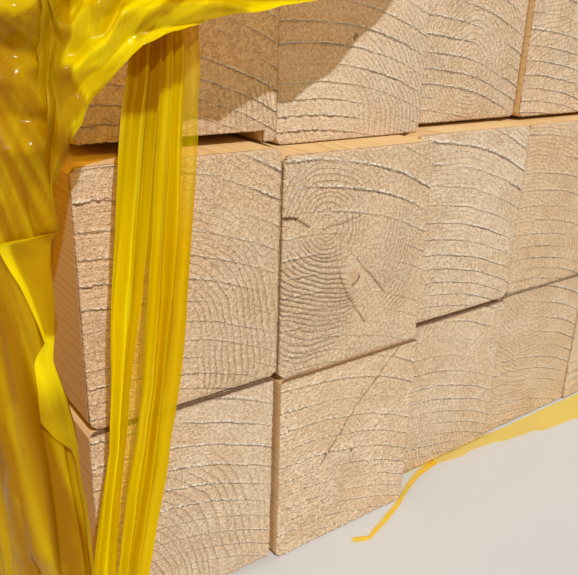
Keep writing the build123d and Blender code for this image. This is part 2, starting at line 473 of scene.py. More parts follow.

# %% [markdown]
# Fresh pine is a pale peachy cream where it is sawn across and a warmer yellow cream
# where it is planed. Every stud comes from its own log, so each gets the same finish with
# its own pith, seed and warmth. The ends carry values made with their relief: fuzz, where
# fibres stand pale; crack, where the wood has opened and looks brown, which also carries a
# painted shade band along the top edge of the bottom row's ends; rings, how clearly the rings
# show; and the count and strength of the saw marks.

# %% The pine finish
def pine_finish(name, pith, ring_width, seed, warmth=0.0, knot=None):
    """Pine for one stud; pith is (x, z) in metres, warmth from -1 pale to 1 warm."""
    material = bpy.data.materials.new(name)
    material.use_nodes = True
    wood = Tree(material.node_tree)
    surface = material.node_tree.nodes["Principled BSDF"]
    log = {"Pith X": pith[0], "Pith Z": pith[1], "Ring Width": ring_width, "Seed": seed}
    if knot:
        log.update({"Knot X": knot[0][0], "Knot Z": knot[0][2], "Knot Pull": knot_pull})
    rings = wood.use(growth_rings, log)
    planed = wood.use(planed_fibres, {"Seed": seed})
    torn = wood.use(torn_fibres, {"Seed": seed})
    marks = {"Count": wood.held("marks"), "Strength": wood.held("strength"), "Seed": seed}
    saw = wood.use(saw_marks, marks)
    late = rings["Late Wood"]

    face = wood.mix(planed["Streak"], srgb(240, 211, 158), srgb(228, 192, 136))
    strength = wood.math("MULTIPLY_ADD", rings["Ring Tone"], 0.35, 0.4)
    face = wood.mix(wood.math("MULTIPLY", late, strength), face, srgb(196, 142, 82))

    end = wood.mix(torn["Dots"], srgb(158, 120, 84), srgb(240, 212, 176))
    clear_rings = wood.math("MULTIPLY_ADD", wood.ramp(torn["Blotch"], 0.34, 0.58), 0.6, 0.6)
    shown = wood.math("MULTIPLY", wood.held("rings"), clear_rings)
    late_on_end = wood.math("MULTIPLY", late, shown)
    end = wood.mix(late_on_end, end, srgb(136, 92, 56))
    coats = [
        (wood.ramp(torn["Blotch"], 0.3, 0.75), 0.35, (222, 186, 142)),
        (wood.ramp(torn["Blotch"], 0.5, 0.3), 0.3, (186, 158, 130)),
        (wood.held("fuzz"), 0.42, (250, 232, 204)),
        # The crest is pale torn fibre with a painted highlight; the dark line under it is a
        # painted shadow.
        (saw["Crest"], 0.78, (255, 244, 224)),
        (saw["Shadow"], 0.5, (124, 88, 56)),
    ]
    if knot:
        coats += knot_coats(wood, *knot)
    for share, amount, shade in coats:
        end = wood.mix(wood.math("MULTIPLY", share, amount), end, srgb(*shade))
    # Brown where the wood has opened, and painted shade along the top edge of the bottom row's
    # ends.
    end = wood.mix(wood.held("crack"), end, srgb(96, 56, 26))

    split = wood.node("ShaderNodeSeparateXYZ")
    wood.join(wood.node("ShaderNodeNewGeometry").outputs["True Normal"], split.inputs[0])
    cross = wood.ramp(wood.math("ABSOLUTE", split.outputs[1]), 0.6, 0.9)
    is_end = wood.math("MAXIMUM", cross, wood.held("sawn"))
    warm = srgb(206, 160, 104) if warmth > 0 else srgb(236, 214, 186)
    colour = wood.mix(abs(warmth) * 0.35, wood.mix(is_end, face, end), warm)
    wood.join(colour, surface.inputs["Base Color"])
    surface.inputs["Roughness"].default_value = 0.72
    surface.inputs["Specular IOR Level"].default_value = 0.25

    smooth = wood.math("MULTIPLY", planed["Height"], 0.12)
    rough = wood.math("MULTIPLY_ADD", late_on_end, -1.3, torn["Height"])
    rough = wood.math("MULTIPLY_ADD", saw["Height"], 0.8, rough)
    bump = wood.node("ShaderNodeBump")
    bump.inputs["Strength"].default_value = 0.95
    bump.inputs["Distance"].default_value = 0.0011
    wood.join(wood.blend(is_end, smooth, rough), bump.inputs["Height"])
    wood.join(bump.outputs["Normal"], surface.inputs["Normal"])
    return material


print("pine finish ready,", len(bpy.data.node_groups), "groups")

# %% [markdown]
# The photograph shows where some of the logs had their pith, because the arcs curve round
# it, and which ends are warmer or paler. These studs get their own values, and the hidden
# ones get theirs from a short list, so that no two neighbours look alike.

# %% A finish for each stud
# Where each log's pith lies, in millimetres from the stud's lower left corner, and how
# wide its rings are. The rest of the studs get theirs from a fixed list of odd places.
known_piths_mm = {
    "stud_second_1": (6, 22, 4.2),
    "stud_second_2": (33, 94, 3.3),
    "stud_bottom_1": (-22, 12, 5.2),
    "stud_bottom_2": (35, 64, 3.3),
    "stud_second_3": (30, 25, 3.5),
    "stud_second_4": (14, 22, 3.4),
    "stud_third_1": (-10, 20, 3.6),
    "stud_third_2": (10, -10, 3.5),
}
warmths = {
    "stud_second_1": 0.5, "stud_second_2": 0.1, "stud_bottom_2": 0.5, "stud_bottom_1": -0.1,
    "stud_second_3": -0.1,
}
knotted_stud = "stud_second_2"
knot_place_mm, knot_tilt = (57.0, 60.5), math.radians(-20)
knot_size = (0.0062, 0.05, 0.0085)
other_piths_mm = [(70, -25, 3.2), (-18, 60, 3.8), (128, 30, 3.0), (55, 150, 3.6), (64, 40, 3.1)]
stud_names = sorted(name for name in nodes if name.startswith("stud_"))
stud_materials = {}
for index, name in enumerate(stud_names):
    low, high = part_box(name)
    a, b, width = known_piths_mm.get(name, other_piths_mm[index % len(other_piths_mm)])
    pith = (low.x + a * MM, low.z + b * MM)
    warmth = warmths.get(name, float(soft_noise(index * 1.7, 0.5, 0.0, 5)))
    knot = None
    if name == knotted_stud:
        where = (low.x + knot_place_mm[0] * MM, low.y, low.z + knot_place_mm[1] * MM)
        knot = (where, knot_size, knot_tilt)
    title = "pine " + name[5:].replace("_", " ")
    stud_materials[name] = pine_finish(title, pith, width * MM, index * 3.71, warmth, knot)
    nodes[name].data.materials.clear()
    nodes[name].data.materials.append(stud_materials[name])
print("pine finishes", len(stud_materials))

# %% [markdown]
# The sawn ends are what the photograph shows best. The blade leaves curved rows of torn
# fibre about a finger's width apart, closer lower down, with a fine shadow under each and a
# rough grain between. A bump map alone looks painted at this distance, so each end gets a thin
# plate of real relief, a fine grid that lies just before the stud's flat end.

# %% Relief of a sawn end
mark_radius_mm = 257.0
closest_marks_mm, mark_growth = 8.5, 0.057
ridge_mm, groove_mm, slope_mm, grain_mm, sweep_mm, shag_mm = 1.0, 0.55, 0.3, 0.21, 0.3, 0.5


def marks_below(height):
    """How many marks lie below a height in mm; they lie closer together lower down."""
    return np.log(closest_marks_mm + mark_growth * np.maximum(height, -20.0)) / mark_growth


def saw_relief(a, b, seed, peak_mm, fuzziness):
    """Height in mm, fuzz from 0 to 1, mark count and mark strength at places on an end.

    The places a and b are in mm to the right of and above the stud's lower left corner.
    """
    bow = mark_radius_mm - np.sqrt(mark_radius_mm**2 - (a - peak_mm[0]) ** 2)
    wobble = 0.7 * soft_noise(a / 19, b / 45, 0, seed)
    wobble = wobble + 0.22 * soft_noise(a / 5, b / 9, 0, seed + 1)
    level = b + bow + wobble
    count = marks_below(level) - marks_below(peak_mm[1]) + 0.5
    which = np.floor(count)
    above = (count - which - 0.5) * (closest_marks_mm + mark_growth * level)
    strength = 0.66 + 0.75 * soft_noise(which * 0.77 + 0.4, a / 42, 0, seed + 3)
    strength = np.clip(strength, 0.08, 1.15)
    ragged = 1 - smooth_step(a, 35, 85) * 0.7
    beads = np.clip(0.6 + 2.2 * ragged * soft_noise(a / 1.9, b / 1.7, 0, seed + 4), 0.0, 1.6)
    ridge = np.exp(-(((above - 0.4) / 0.75) ** 2)) * beads * strength
    under = np.exp(-(((above + 1.0) / 0.8) ** 2)) * strength
    slope = smooth_step(above, 0.2, 1.2) * (1 - smooth_step(above, 1.2, 7.0)) * strength
    grains = np.random.default_rng(seed).normal(0.0, 1.0, a.shape)
    tufts = np.clip(0.35 + 0.3 * grains, 0, 1)
    patch = 0.35 + 0.65 * smooth_step(soft_noise(a / 21, b / 17, 0, seed + 6), -0.5, 0.6)
    sweep = soft_noise(a / 38, b / 31, 0, seed + 8)
    shag = max(fuzziness - 1, 0) * soft_noise(a / 2.3, b / 1.6, 0, seed + 9) * patch
    height = ridge_mm * ridge - groove_mm * under + slope_mm * slope
    height = height + grain_mm * fuzziness * grains * patch + sweep_mm * sweep + shag_mm * shag
    fuzz = np.clip(fuzziness * (0.2 + 0.8 * tufts) * patch, 0, 1)
    return height, fuzz, count, strength


def distance_to_line(a, b, points):
    """Shortest distance in mm from each point to a run of straight pieces."""
    best = np.full(a.shape, 1e9)
    for (a0, b0), (a1, b1) in zip(points[:-1], points[1:]):
        long2 = (a1 - a0) ** 2 + (b1 - b0) ** 2
        t = np.clip(((a - a0) * (a1 - a0) + (b - b0) * (b1 - b0)) / long2, 0, 1)
        best = np.minimum(best, np.hypot(a - a0 - t * (a1 - a0), b - b0 - t * (b1 - b0)))
    return best


sample = saw_relief(np.array([60.0]), np.array([70.0]), 1, (4, 100), 1)[0]
print("relief at one point", np.round(sample, 2))

# %% [markdown]
# Wood opens along its radius as it dries. The second stud of the second row has several
# such checks round its knot, and the one below it has a long check from its pith to its
# top corner. Each is a run of straight pieces, a width, a depth and how dark it looks.

# %% Checks and the knot
checks_mm = {
    "stud_second_2": [
        ([(-1, 103.6), (4, 103.8), (10, 102)], 0.9, 1.2, 1.0),
        ([(10, 102), (19.3, 96.4)], 0.5, 1.0, 0.9),
        ([(30, 92.6), (34.8, 94.2), (48.3, 95.5), (60.3, 98.4)], 0.45, 0.6, 0.55),
        ([(57.7, 70.9), (64, 63), (70.9, 57.6), (85, 42)], 0.45, 0.8, 0.7),
        ([(44.1, 63.9), (47.2, 55.1), (52, 47), (58.7, 37.4), (69.6, 23.3)], 0.45, 0.8, 0.7),
        ([(55.8, 52.1), (59.1, 54.2), (61.3, 58.0)], 0.7, 0.7, 0.9),
    ],
    "stud_bottom_2": [
        ([(35, 63.5), (52, 84), (68, 104), (104, 138)], 0.7, 1.1, 0.8),
        ([(64, 65), (65.5, 66.5)], 1.1, 0.8, 0.9),
    ],
    "stud_third_2": [([(57, 61), (59, 63)], 1.2, 0.8, 0.8)],
}
knot_mm = {"stud_second_2": (56.0, 61.0, 11.0, 15.0)}
print("studs with checks", len(checks_mm))

# %% [markdown]
# No two ends look the same: rings stand out in some places and are lost under fuzz in
# others, and the blade crossed each stud at its own height. These tables hold what the
# photograph shows of each end, and the ends that it doesn't show get plain values.

# %% What differs from end to end
# Where rings stand out on an end: the base, then patches as (a, b, half a, half b, strength).
plain_rings = (0.4, [])
ring_patches_mm = {
    "stud_second_2": (0.12, [
        (18, 45, 44, 46, 0.95), (28, 118, 34, 20, 0.75),
        (96, 62, 22, 44, 0.5), (52, 92, 16, 14, 0.5),
    ]),
    "stud_second_1": (0.14, [
        (92, 38, 34, 62, 0.75), (60, 95, 40, 30, 0.35), (30, 60, 26, 50, 0.3),
    ]),
    "stud_bottom_1": (0.2, [(55, 45, 70, 60, 0.65)]),
    "stud_bottom_2": (0.12, [(40, 72, 40, 36, 0.3), (30, 20, 40, 26, 0.3)]),
    "stud_third_1": (0.12, [(90, 8, 70, 24, 0.5)]),
    "stud_third_2": (0.15, [(100, 30, 45, 50, 0.6)]),
    "stud_second_3": (0.25, [(50, 50, 50, 40, 0.35)]),
}
# How much further the sawn face of a row stands out, and how much of its foot is worn off.
overhang_mm, worn_foot_mm = {"second": 2.0}, {"second": -1.1}
# On each stud: how far across the arcs peak, and the height of one mark there.
mark_peaks_mm = {
    "stud_second_1": (1, 108.9), "stud_second_2": (5, 105.9), "stud_second_3": (0, 104.6),
    "stud_third_1": (0, 46.5), "stud_third_2": (18, 36.5), "stud_bottom_1": (0, 103.2),
}
fuzziness = {
    "stud_second_2": 0.6, "stud_second_3": 1.3, "stud_bottom_2": 2.3, "stud_bottom_1": 1.2,
    "stud_second_1": 1.2,
}
print("ends with rings of their own", len(ring_patches_mm), "with fuzz", len(fuzziness))

# %% [markdown]
# Relief and film are meshes whose points also carry numbers, such as how much fuzz stands
# there, which the finishes read. One helper makes every such object: it drops points that
# no face uses, writes the numbers, and shades the surface smooth.

# %% Helpers for meshes
def mesh_piece(name, points, faces, material, values):
    """A smooth object from points in metres, with numbers held at its points."""
    used = np.unique(np.concatenate(faces))
    renumber = np.zeros(len(points), int)
    renumber[used] = np.arange(len(used))
    mesh = bpy.data.meshes.new(name)
    mesh.from_pydata(points[used], [], [tuple(renumber[list(face)]) for face in faces])
    mesh.polygons.foreach_set("use_smooth", [True] * len(mesh.polygons))
    mesh.materials.append(material)
    for label, numbers in values.items():
        held = mesh.attributes.new(label, "FLOAT", "POINT")
        held.data.foreach_set("value", numbers[used])
    mesh.update()
    return add_object(name, mesh)


def grid_quads(index, flip=False):
    """Quads between the numbered points of a grid; flip makes them face the other way."""
    sides = [index[:-1, :-1], index[1:, :-1], index[1:, 1:], index[:-1, 1:]]
    if flip:
        sides = [sides[0], sides[3], sides[2], sides[1]]
    return np.stack(sides, axis=-1).reshape(-1, 4)


print("quads of a grid of 3 by 4 points:", len(grid_quads(np.arange(12).reshape(3, 4))))

# %% [markdown]
# Each plate starts from the stud's own flat end, read from its CAD mesh, so it follows the
# stud's tilt. Its open border is carried back into the stud and closed, which makes it a
# solid shape. A plate with a loose border would show a bright rim where light slips behind.

# %% Outline and border of a plate
flat_end_depth = 0.0012
tuck_in = 0.00025    # how far the carried border moves in, so that it stays inside the stud


def end_ring(node):
    """Corners of a stud's flat front end, from the CAD mesh."""
    co = np.empty(len(node.data.vertices) * 3)
    node.data.vertices.foreach_get("co", co)
    co = co.reshape(-1, 3)
    return co[co[:, 1] < co[:, 1].min() + flat_end_depth]


def close_border(points, faces, back):
    """Carries the border of a sheet of quads back to the plane and closes it."""
    edges = {}
    for face in faces:
        for start, end in zip(face, (*face[1:], face[0])):
            edges[(start, end)] = True
    border = {start: end for start, end in edges if (end, start) not in edges}
    copy, extra = {}, []
    middle = points.mean(axis=0)
    for index in border:
        copy[index] = len(points) + len(extra)
        x, _, z = points[index]
        inward = middle - points[index]
        inward = tuck_in * inward / np.linalg.norm(inward)
        extra.append((x + inward[0], back(z), z + inward[2]))
    walls = [(end, start, copy[start], copy[end]) for start, end in border.items()]
    loop = [next(iter(border))]
    while border[loop[-1]] != loop[0]:
        loop.append(border[loop[-1]])
    return np.vstack([points, extra]), faces + walls + [tuple(copy[i] for i in loop[::-1])]


print("corners of the first end", len(end_ring(nodes[stud_names[0]])))

# %% [markdown]
# The relief is worked out on a square grid over the end: the saw's marks first, then the
# checks cut into them and the knot, which is harder and sawn smoother. Near the end's edges
# the fibres have broken off, so the relief fades and the edge is a little ragged.

# %% Relief on one end
arris_mm = 3.0


def end_relief(name, a, b, height, seed):
    """Relief in mm on one stud's end, and the values that its finish reads."""
    row = name.split("_")[1]
    plain_peak = (4 + 9 * float(soft_noise(seed / 7, 0.5, 0, 11)), 100 + seed % 13)
    peak = mark_peaks_mm.get(name, plain_peak)
    relief, fuzz, count, strength = saw_relief(a, b, seed, peak, fuzziness.get(name, 1.0))
    # Painted shade: a dark band along the top edge of each bottom-row end, under the row above.
    crack = 0.95 * (1 - smooth_step(height - b, 1.9, 2.6)) * (row == "bottom")
    for line, wide, deep, dark in checks_mm.get(name, []):
        waver = 0.5 * soft_noise(a / 3.1, b / 3.1, 0, seed + 20)
        near = distance_to_line(a + waver, b - waver, line)
        opening = 1 - smooth_step(near, wide * 0.5, wide * 1.5)
        relief = relief - deep * opening
        crack = np.maximum(crack, dark * opening)
    if name in knot_mm:
        ka, kb, half_a, half_b = knot_mm[name]
        swell = np.hypot((a - ka) / half_a, (b - kb) / half_b)
        calm = smooth_step(swell, 0.7, 1.3)
        relief = relief * (0.25 + 0.75 * calm) + 0.35 * (1 - calm)
        fuzz = fuzz * (0.2 + 0.8 * calm)
        strength = strength * (0.15 + 0.85 * calm) * (0.3 + 0.7 * smooth_step(b, 62, 88))
    return relief, {"fuzz": fuzz, "crack": crack, "marks": count, "strength": strength}


def draw_in_corners(a, b, width, height):
    """Moves the points past the planed arrises onto them."""
    for side_a, side_b in ((0, 0), (1, 0), (0, 1), (1, 1)):
        da = width - a if side_a else a
        db = height - b if side_b else b
        past = np.clip(arris_mm - da - db, 0, None) / 2
        a = a + (-past if side_a else past)
        b = b + (-past if side_b else past)
    return a, b


def fade_at_edge(relief, a, b, width, height, seed):
    """Relief that fades and turns ragged at the edges of an end."""
    edge = np.minimum.reduce([a, width - a, b, height - b])
    ragged = 0.35 * soft_noise(a / 1.6, b / 1.6, 0, seed + 30)
    worn = (0.3 + ragged) * (1 - smooth_step(edge, 0.0, 0.9))
    return relief * (0.35 + 0.65 * smooth_step(edge, 0.0, 1.6)) - worn


def ring_strength(name, a, b):
    """How clearly the growth rings show at places on an end."""
    base, patches = ring_patches_mm.get(name, plain_rings)
    rings = np.full(a.shape, base)
    for pa, pb, half_a, half_b, strong in patches:
        near = 1 - smooth_step(np.hypot((a - pa) / half_a, (b - pb) / half_b), 0.55, 1.25)
        rings = np.maximum(rings, strong * near)
    return rings


print("rings at one place", ring_strength("stud_bottom_1", np.array([55.0]), np.array([45.0])))

# %% [markdown]
# The plate's grid is square but for its corners, where points past the planed arris are
# drawn onto it. The rebated stud loses the cells below its rebate. The plate stands about
# a millimetre before the stud's flat end, which leaves room for its hollows.

# %% Plates of sawn relief
rebate_mm = (6.5, 8.5)
rebated_stud = "stud_third_1"
plate_stand_mm, plate_back_mm = 1.1, 0.7
least_cell_mm = 0.01


def plate_faces(name, a, b, width, height):
    """The quads of a plate's grid, without those past an arris or in the rebate."""
    columns, rows = a.shape[0] - 1, a.shape[1] - 1
    index = np.arange(a.size).reshape(a.shape)
    faces = []
    for i in range(columns):
        for j in range(rows):
            quad = (index[i, j], index[i + 1, j], index[i + 1, j + 1], index[i, j + 1])
            ma, mb = a[i : i + 2, j : j + 2].mean(), b[i : i + 2, j : j + 2].mean()
            if name == rebated_stud and ma < width - rebate_mm[1] and mb < rebate_mm[0]:
                continue
            low_side, high_side = a[i + 1, j] - a[i, j], a[i + 1, j + 1] - a[i, j + 1]
            least = min(low_side, high_side, b[i, j + 1] - b[i, j])
            at_corner = min(ma, width - ma) + min(mb, height - mb) < arris_mm + 0.01
            if not (at_corner and least < least_cell_mm):
                faces.append(tuple(int(v) for v in quad))
    return faces


def sawn_end(name, cell_mm, seed):
    """A plate of relief before the front end of one stud."""
    ring = end_ring(nodes[name])
    left, right = ring[:, 0].min(), ring[:, 0].max()
    bottom, top = ring[:, 2].min(), ring[:, 2].max()
    slope, start = np.polyfit(ring[:, 2], ring[:, 1], 1)
    width, height = (right - left) / MM, (top - bottom) / MM
    row = name.split("_")[1]
    a_lines = np.linspace(0, width, round(width / cell_mm) + 1)
    b_lines = np.linspace(worn_foot_mm.get(row, 0), height, round(height / cell_mm) + 1)
    if name == rebated_stud:
        a_lines[np.argmin(abs(a_lines - (width - rebate_mm[1])))] = width - rebate_mm[1]
        b_lines[np.argmin(abs(b_lines - rebate_mm[0]))] = rebate_mm[0]
    a, b = np.meshgrid(a_lines, b_lines, indexing="ij")
    relief, carried = end_relief(name, a, b, height, seed)
    a, b = draw_in_corners(a, b, width, height)
    relief = fade_at_edge(relief, a, b, width, height, seed)
    z = bottom + b * MM
    y = start + slope * z - (plate_stand_mm + relief + overhang_mm.get(row, 0)) * MM
    points = np.stack([left + a * MM, y, z], axis=-1).reshape(-1, 3)
    faces = plate_faces(name, a, b, width, height)
    points, faces = close_border(
        points, faces, lambda z: start + slope * z + plate_back_mm * MM
    )
    carried["rings"] = ring_strength(name, a, b)
    values = {}
    for label, numbers in carried.items():
        values[label] = np.zeros(len(points))
        values[label][: numbers.size] = numbers.reshape(-1)
    values["sawn"] = np.ones(len(points))
    title = name.replace("stud", "sawn_end")
    plate = mesh_piece(title, points, faces, stud_materials[name], values)
    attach(plate, "root")
    return plate


print("plates stand", plate_stand_mm, "mm before the ends and reach", plate_back_mm, "mm in")

# %% [markdown]
# The seven ends nearest the camera get the finest grid, the others in the first four
# columns of the lower three rows a coarser one, and the rest the coarsest. One fine grid for
# all would make the model several times as heavy, with nothing more to see.

# %% A plate on every stud
cells_mm = (0.8, 1.2, 1.9)
nearest = ["stud_bottom_1", "stud_bottom_2", "stud_third_1", "stud_third_2"]
nearest += ["stud_second_1", "stud_second_2", "stud_second_3"]
faces_made = 0
for index, name in enumerate(stud_names):
    _, row, column = name.split("_")
    near_camera = row != "top" and int(column) <= 4
    cell = cells_mm[0] if name in nearest else cells_mm[1] if near_camera else cells_mm[2]
    plate = sawn_end(name, cell, 100 + 31 * index)
    faces_made += len(plate.data.polygons)
print("sawn ends", len(stud_names), "faces", faces_made)

# %% [markdown]
# The hood is thin polythene, dyed a strong clear yellow. One layer lets the wood show
# through it, two or three layers look solid, and every crease throws a small highlight.
# Crumpled film is made of small flat facets. A pattern of cells gives them: each cell tilts
# its own way, and the height runs straight across it. Soft noise would look like cloth.

# %% Group: film creases
tree, given, result = new_group("film creases", {"Size": 60.0, "Seed": 0.0}, ("Height", "Cloud"))
facet_height = 60.0
x, y, z = tree.place()
spot = tree.vector(tree.math("ADD", x, given["Seed"]), y, tree.math("MULTIPLY", z, 0.4))
height = 0.0
for share, strength in ((1.0, 1.0), (2.7, 0.45)):
    facets = tree.node("ShaderNodeTexVoronoi")
    tree.join(spot, facets.inputs["Vector"])
    tree.join(tree.math("MULTIPLY", given["Size"], share), facets.inputs["Scale"])
    away = tree.vector_math("SUBTRACT", spot, facets.outputs["Position"])
    tilt = tree.vector_math("SUBTRACT", facets.outputs["Color"], (0.5, 0.5, 0.5))
    slope = tree.vector_math("DOT_PRODUCT", away.outputs["Vector"], tilt.outputs["Vector"])
    height = tree.math(
        "MULTIPLY_ADD", slope.outputs["Value"], facet_height * strength, height
    )
tree.join(height, result["Height"])
tree.join(tree.noise(spot, 18.0, 2.0), result["Cloud"])
film_creases = tree.tree
print("group", film_creases.name)

# %% [markdown]
# Glass would be wrong for the film, because a thin film hardly bends light. So it mixes a
# yellow see-through part with a glossy surface and a part that glows when it is lit from
# behind. To a shadow ray it is clearer than to the camera, since light that it scatters
# onward still reaches the wood. Its points carry how many layers lie there and how amber
# they look; the amber is partly the deeper colour of bunched film and partly painted shade.

# %% The yellow film
def film_finish(name, cover, crease_size, crease_depth, glow):
    """Clear yellow film; cover is how much a single layer and a bunch hide, from 0 to 1."""
    material = bpy.data.materials.new(name)
    material.use_nodes = True
    film = Tree(material.node_tree)
    surface = material.node_tree.nodes["Principled BSDF"]
    folds = film.use(film_creases, {"Size": crease_size})
    amber, layers = film.held("amber"), film.held("layers")
    colour = film.mix(film.ramp(folds["Cloud"], 0.3, 0.7), srgb(250, 220, 0), srgb(255, 230, 0))
    # Amber: deeper colour where the film is bunched, and painted shade where it lies in shadow.
    colour = film.mix(amber, colour, srgb(166, 116, 0))
    film.join(colour, surface.inputs["Base Color"])
    surface.inputs["Roughness"].default_value = 0.15
    surface.inputs["Specular IOR Level"].default_value = 0.35
    surface.inputs["IOR"].default_value = 1.25
    lit_behind = film.node("ShaderNodeBsdfTranslucent")
    film.join(colour, lit_behind.inputs["Color"])
    clear = film.node("ShaderNodeBsdfTransparent")
    tint = film.mix(film.ramp(layers, 0.12, 0.5), srgb(255, 241, 196), srgb(250, 208, 24))
    film.join(film.mix(amber, tint, srgb(222, 146, 8)), clear.inputs["Color"])
    bump = film.node("ShaderNodeBump")
    bump.inputs["Strength"].default_value = 0.5
    bump.inputs["Distance"].default_value = crease_depth
    film.join(folds["Height"], bump.inputs["Height"])
    for lit in (surface, lit_behind):
        film.join(bump.outputs["Normal"], lit.inputs["Normal"])
    body = film.blend_shaders(glow, surface.outputs[0], lit_behind.outputs[0])
    seen = film.math("MULTIPLY_ADD", layers, cover[1] - cover[0], cover[0])
    shading = film.math("MULTIPLY", film.math("POWER", seen, 3.0), 0.9)
    path = film.node("ShaderNodeLightPath")
    share = film.blend(path.outputs["Is Shadow Ray"], seen, shading)
    thin = film.blend_shaders(share, clear.outputs[0], body)
    film.join(thin, material.node_tree.nodes["Material Output"].inputs["Surface"])
    return material


loose_film = film_finish("yellow film", (0.2, 0.985), 70.0, 0.0011, 0.22)
print("film finish", loose_film.name)

# %% [markdown]
# The hood began as a bag pulled over the stack, so its sheet can be drawn as the skin of
# a box: panels over the left, the top, the right and the back, and the torn front. The
# panels share their border points. Rounding the box's corners, pushing the skin out where
# it hangs loose and adding folds then works on one sheet with no seams.

# %% Panels of the hood
hood_low, hood_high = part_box("film_hood")
skin_mm = 0.9
left_mm = (hood_low.x - left_side) / MM + skin_mm
right_mm = (hood_high.x - left_side) / MM - skin_mm
back_mm = (hood_high.y - front_plane) / MM - skin_mm
top_mm = hood_high.z / MM - skin_mm
hem_mm = hood_low.z / MM
loose_line_mm = (hood_low.y - front_plane) / MM


def panel(first, second, fixed, order):
    """Points and quads of one flat panel; order says which axes they run along."""
    grid = np.meshgrid(first, second, indexing="ij")
    points = np.zeros((grid[0].size, 3))
    for axis, values in zip(order, (grid[0].reshape(-1), grid[1].reshape(-1), fixed)):
        points[:, axis] = values
    return points, grid_quads(np.arange(len(points)).reshape(len(first), len(second)))


def join_panels(panels):
    """One sheet from several panels with shared borders, and where each one's points went."""
    points, quads, first = [], [], 0
    for panel_points, panel_quads in panels:
        points.append(panel_points)
        quads.append(panel_quads + first)
        first += len(panel_points)
    points, quads = np.vstack(points), np.vstack(quads)
    keys = np.round(points, 3)
    _, index, back_index = np.unique(keys, axis=0, return_index=True, return_inverse=True)
    back_index = back_index.reshape(-1)
    ends = np.cumsum([len(panel_points) for panel_points, _ in panels])[:-1]
    return points[index], back_index[quads], np.split(back_index, ends)


def grid_lines(*stretches):
    """Positions along one axis, from (start, end, step) stretches that follow on."""
    lines = [np.array([stretches[0][0]])]
    for start, end, step in stretches:
        count = max(1, round((end - start) / step))
        lines.append(np.linspace(start, end, count + 1)[1:])
    return np.concatenate(lines)


print("hood from", round(left_mm, 1), "to", round(right_mm, 1), "mm across")

# %% [markdown]
# Folds push the sheet out along its own smooth normals, and the amount of film in each sheet
# is its area, so both come from the same vector across each quad. Film crumples into facets
# of several sizes, and noise with flat facets, bent and laid over itself, gives them.

# %% Normals, areas and facets of film
def across_quads(points, quads):
    """For each quad, a vector along its normal and twice its area long."""
    first = points[quads[:, 2]] - points[quads[:, 0]]
    second = points[quads[:, 3]] - points[quads[:, 1]]
    return np.cross(first, second)


def surface_normals(points, quads):
    """Smooth unit normals of a sheet of quads."""
    face = across_quads(points, quads)
    total = np.zeros_like(points)
    for corner_index in range(4):
        np.add.at(total, quads[:, corner_index], face)
    return total / np.maximum(np.linalg.norm(total, axis=1, keepdims=True), 1e-9)


def sheet_area(points, quads):
    """Area of a sheet in square metres, from points in mm."""
    return float(np.linalg.norm(across_quads(points, quads), axis=1).sum() / 2) * 1e-6


def film_piece(name, points, quads, layers=None, amber=None):
    """A film object from points in mm, measured from the bundle's left front corner."""
    values = {}
    for label, numbers in (("layers", layers), ("amber", amber)):
        if numbers is not None:
            values[label] = np.clip(numbers, 0, 1).astype(np.float32)
    piece = mesh_piece(name, corner + points * MM, quads, loose_film, values)
    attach(piece, "root")
    print(name, "quads", len(quads), "area", round(sheet_area(points, quads), 3))
    return piece


def crumple(points, size, seed):
    """Irregular sharp-edged facets over a sheet, about -1 to 1."""
    x, y, z = (points / size).T
    bend = 0.55 * soft_noise(x * 0.7, y * 0.7, z * 0.7, seed + 5)
    tilt = 0.6 * y + 0.35 * z
    coarse = facet_noise(x + bend + tilt, y - bend + 0.4 * x, z + bend - 0.3 * x, seed)
    middle = facet_noise(x * 2.2 + bend, y * 2.2 + tilt, z * 2.2 - bend, seed + 1)
    fine = facet_noise(x * 4.7 + tilt, y * 4.7, z * 4.7 + bend, seed + 2)
    return coarse + 0.4 * middle + 0.18 * fine


print("facets at one place", np.round(crumple(np.array([[60.0, 20.0, 90.0]]), 58, 75), 2))

# %% [markdown]
# Behind the torn front the film was shrunk tight. It lies on the wood with long low
# wrinkles and patches of small puckers. They only push the skin outward, so it never sinks
# into the studs.

# %% The tight hood
tight_radius_mm, hood_along_mm, hood_around_mm = 5.0, 13.0, 11.0
long_wrinkle_mm, pucker_mm, least_mm = 2.2, 3.4, 0.2


def round_corners(points, low, high, radius):
    """Rounds the edges of a box-shaped skin to that radius."""
    core = np.clip(points, low + radius, high - radius)
    out = points - core
    length = np.linalg.norm(out, axis=1, keepdims=True)
    return np.where(length > 1e-6, core + out / np.maximum(length, 1e-6) * radius, points)


def tight_wrinkles(points):
    """Outward height in mm of the wrinkles on the tight film."""
    x, y, z = points.T
    rows = np.clip(1 - 1.8 * np.abs(facet_noise(x / 55, y / 520, z / 55, 41)), 0, 1) ** 2
    puckers = np.clip(0.35 + 0.6 * crumple(points, 70, 44), 0, 2)
    patch = smooth_step(soft_noise(x / 260, y / 330, z / 260, 47), -0.3, 0.7)
    return long_wrinkle_mm * rows + pucker_mm * puckers * patch + least_mm


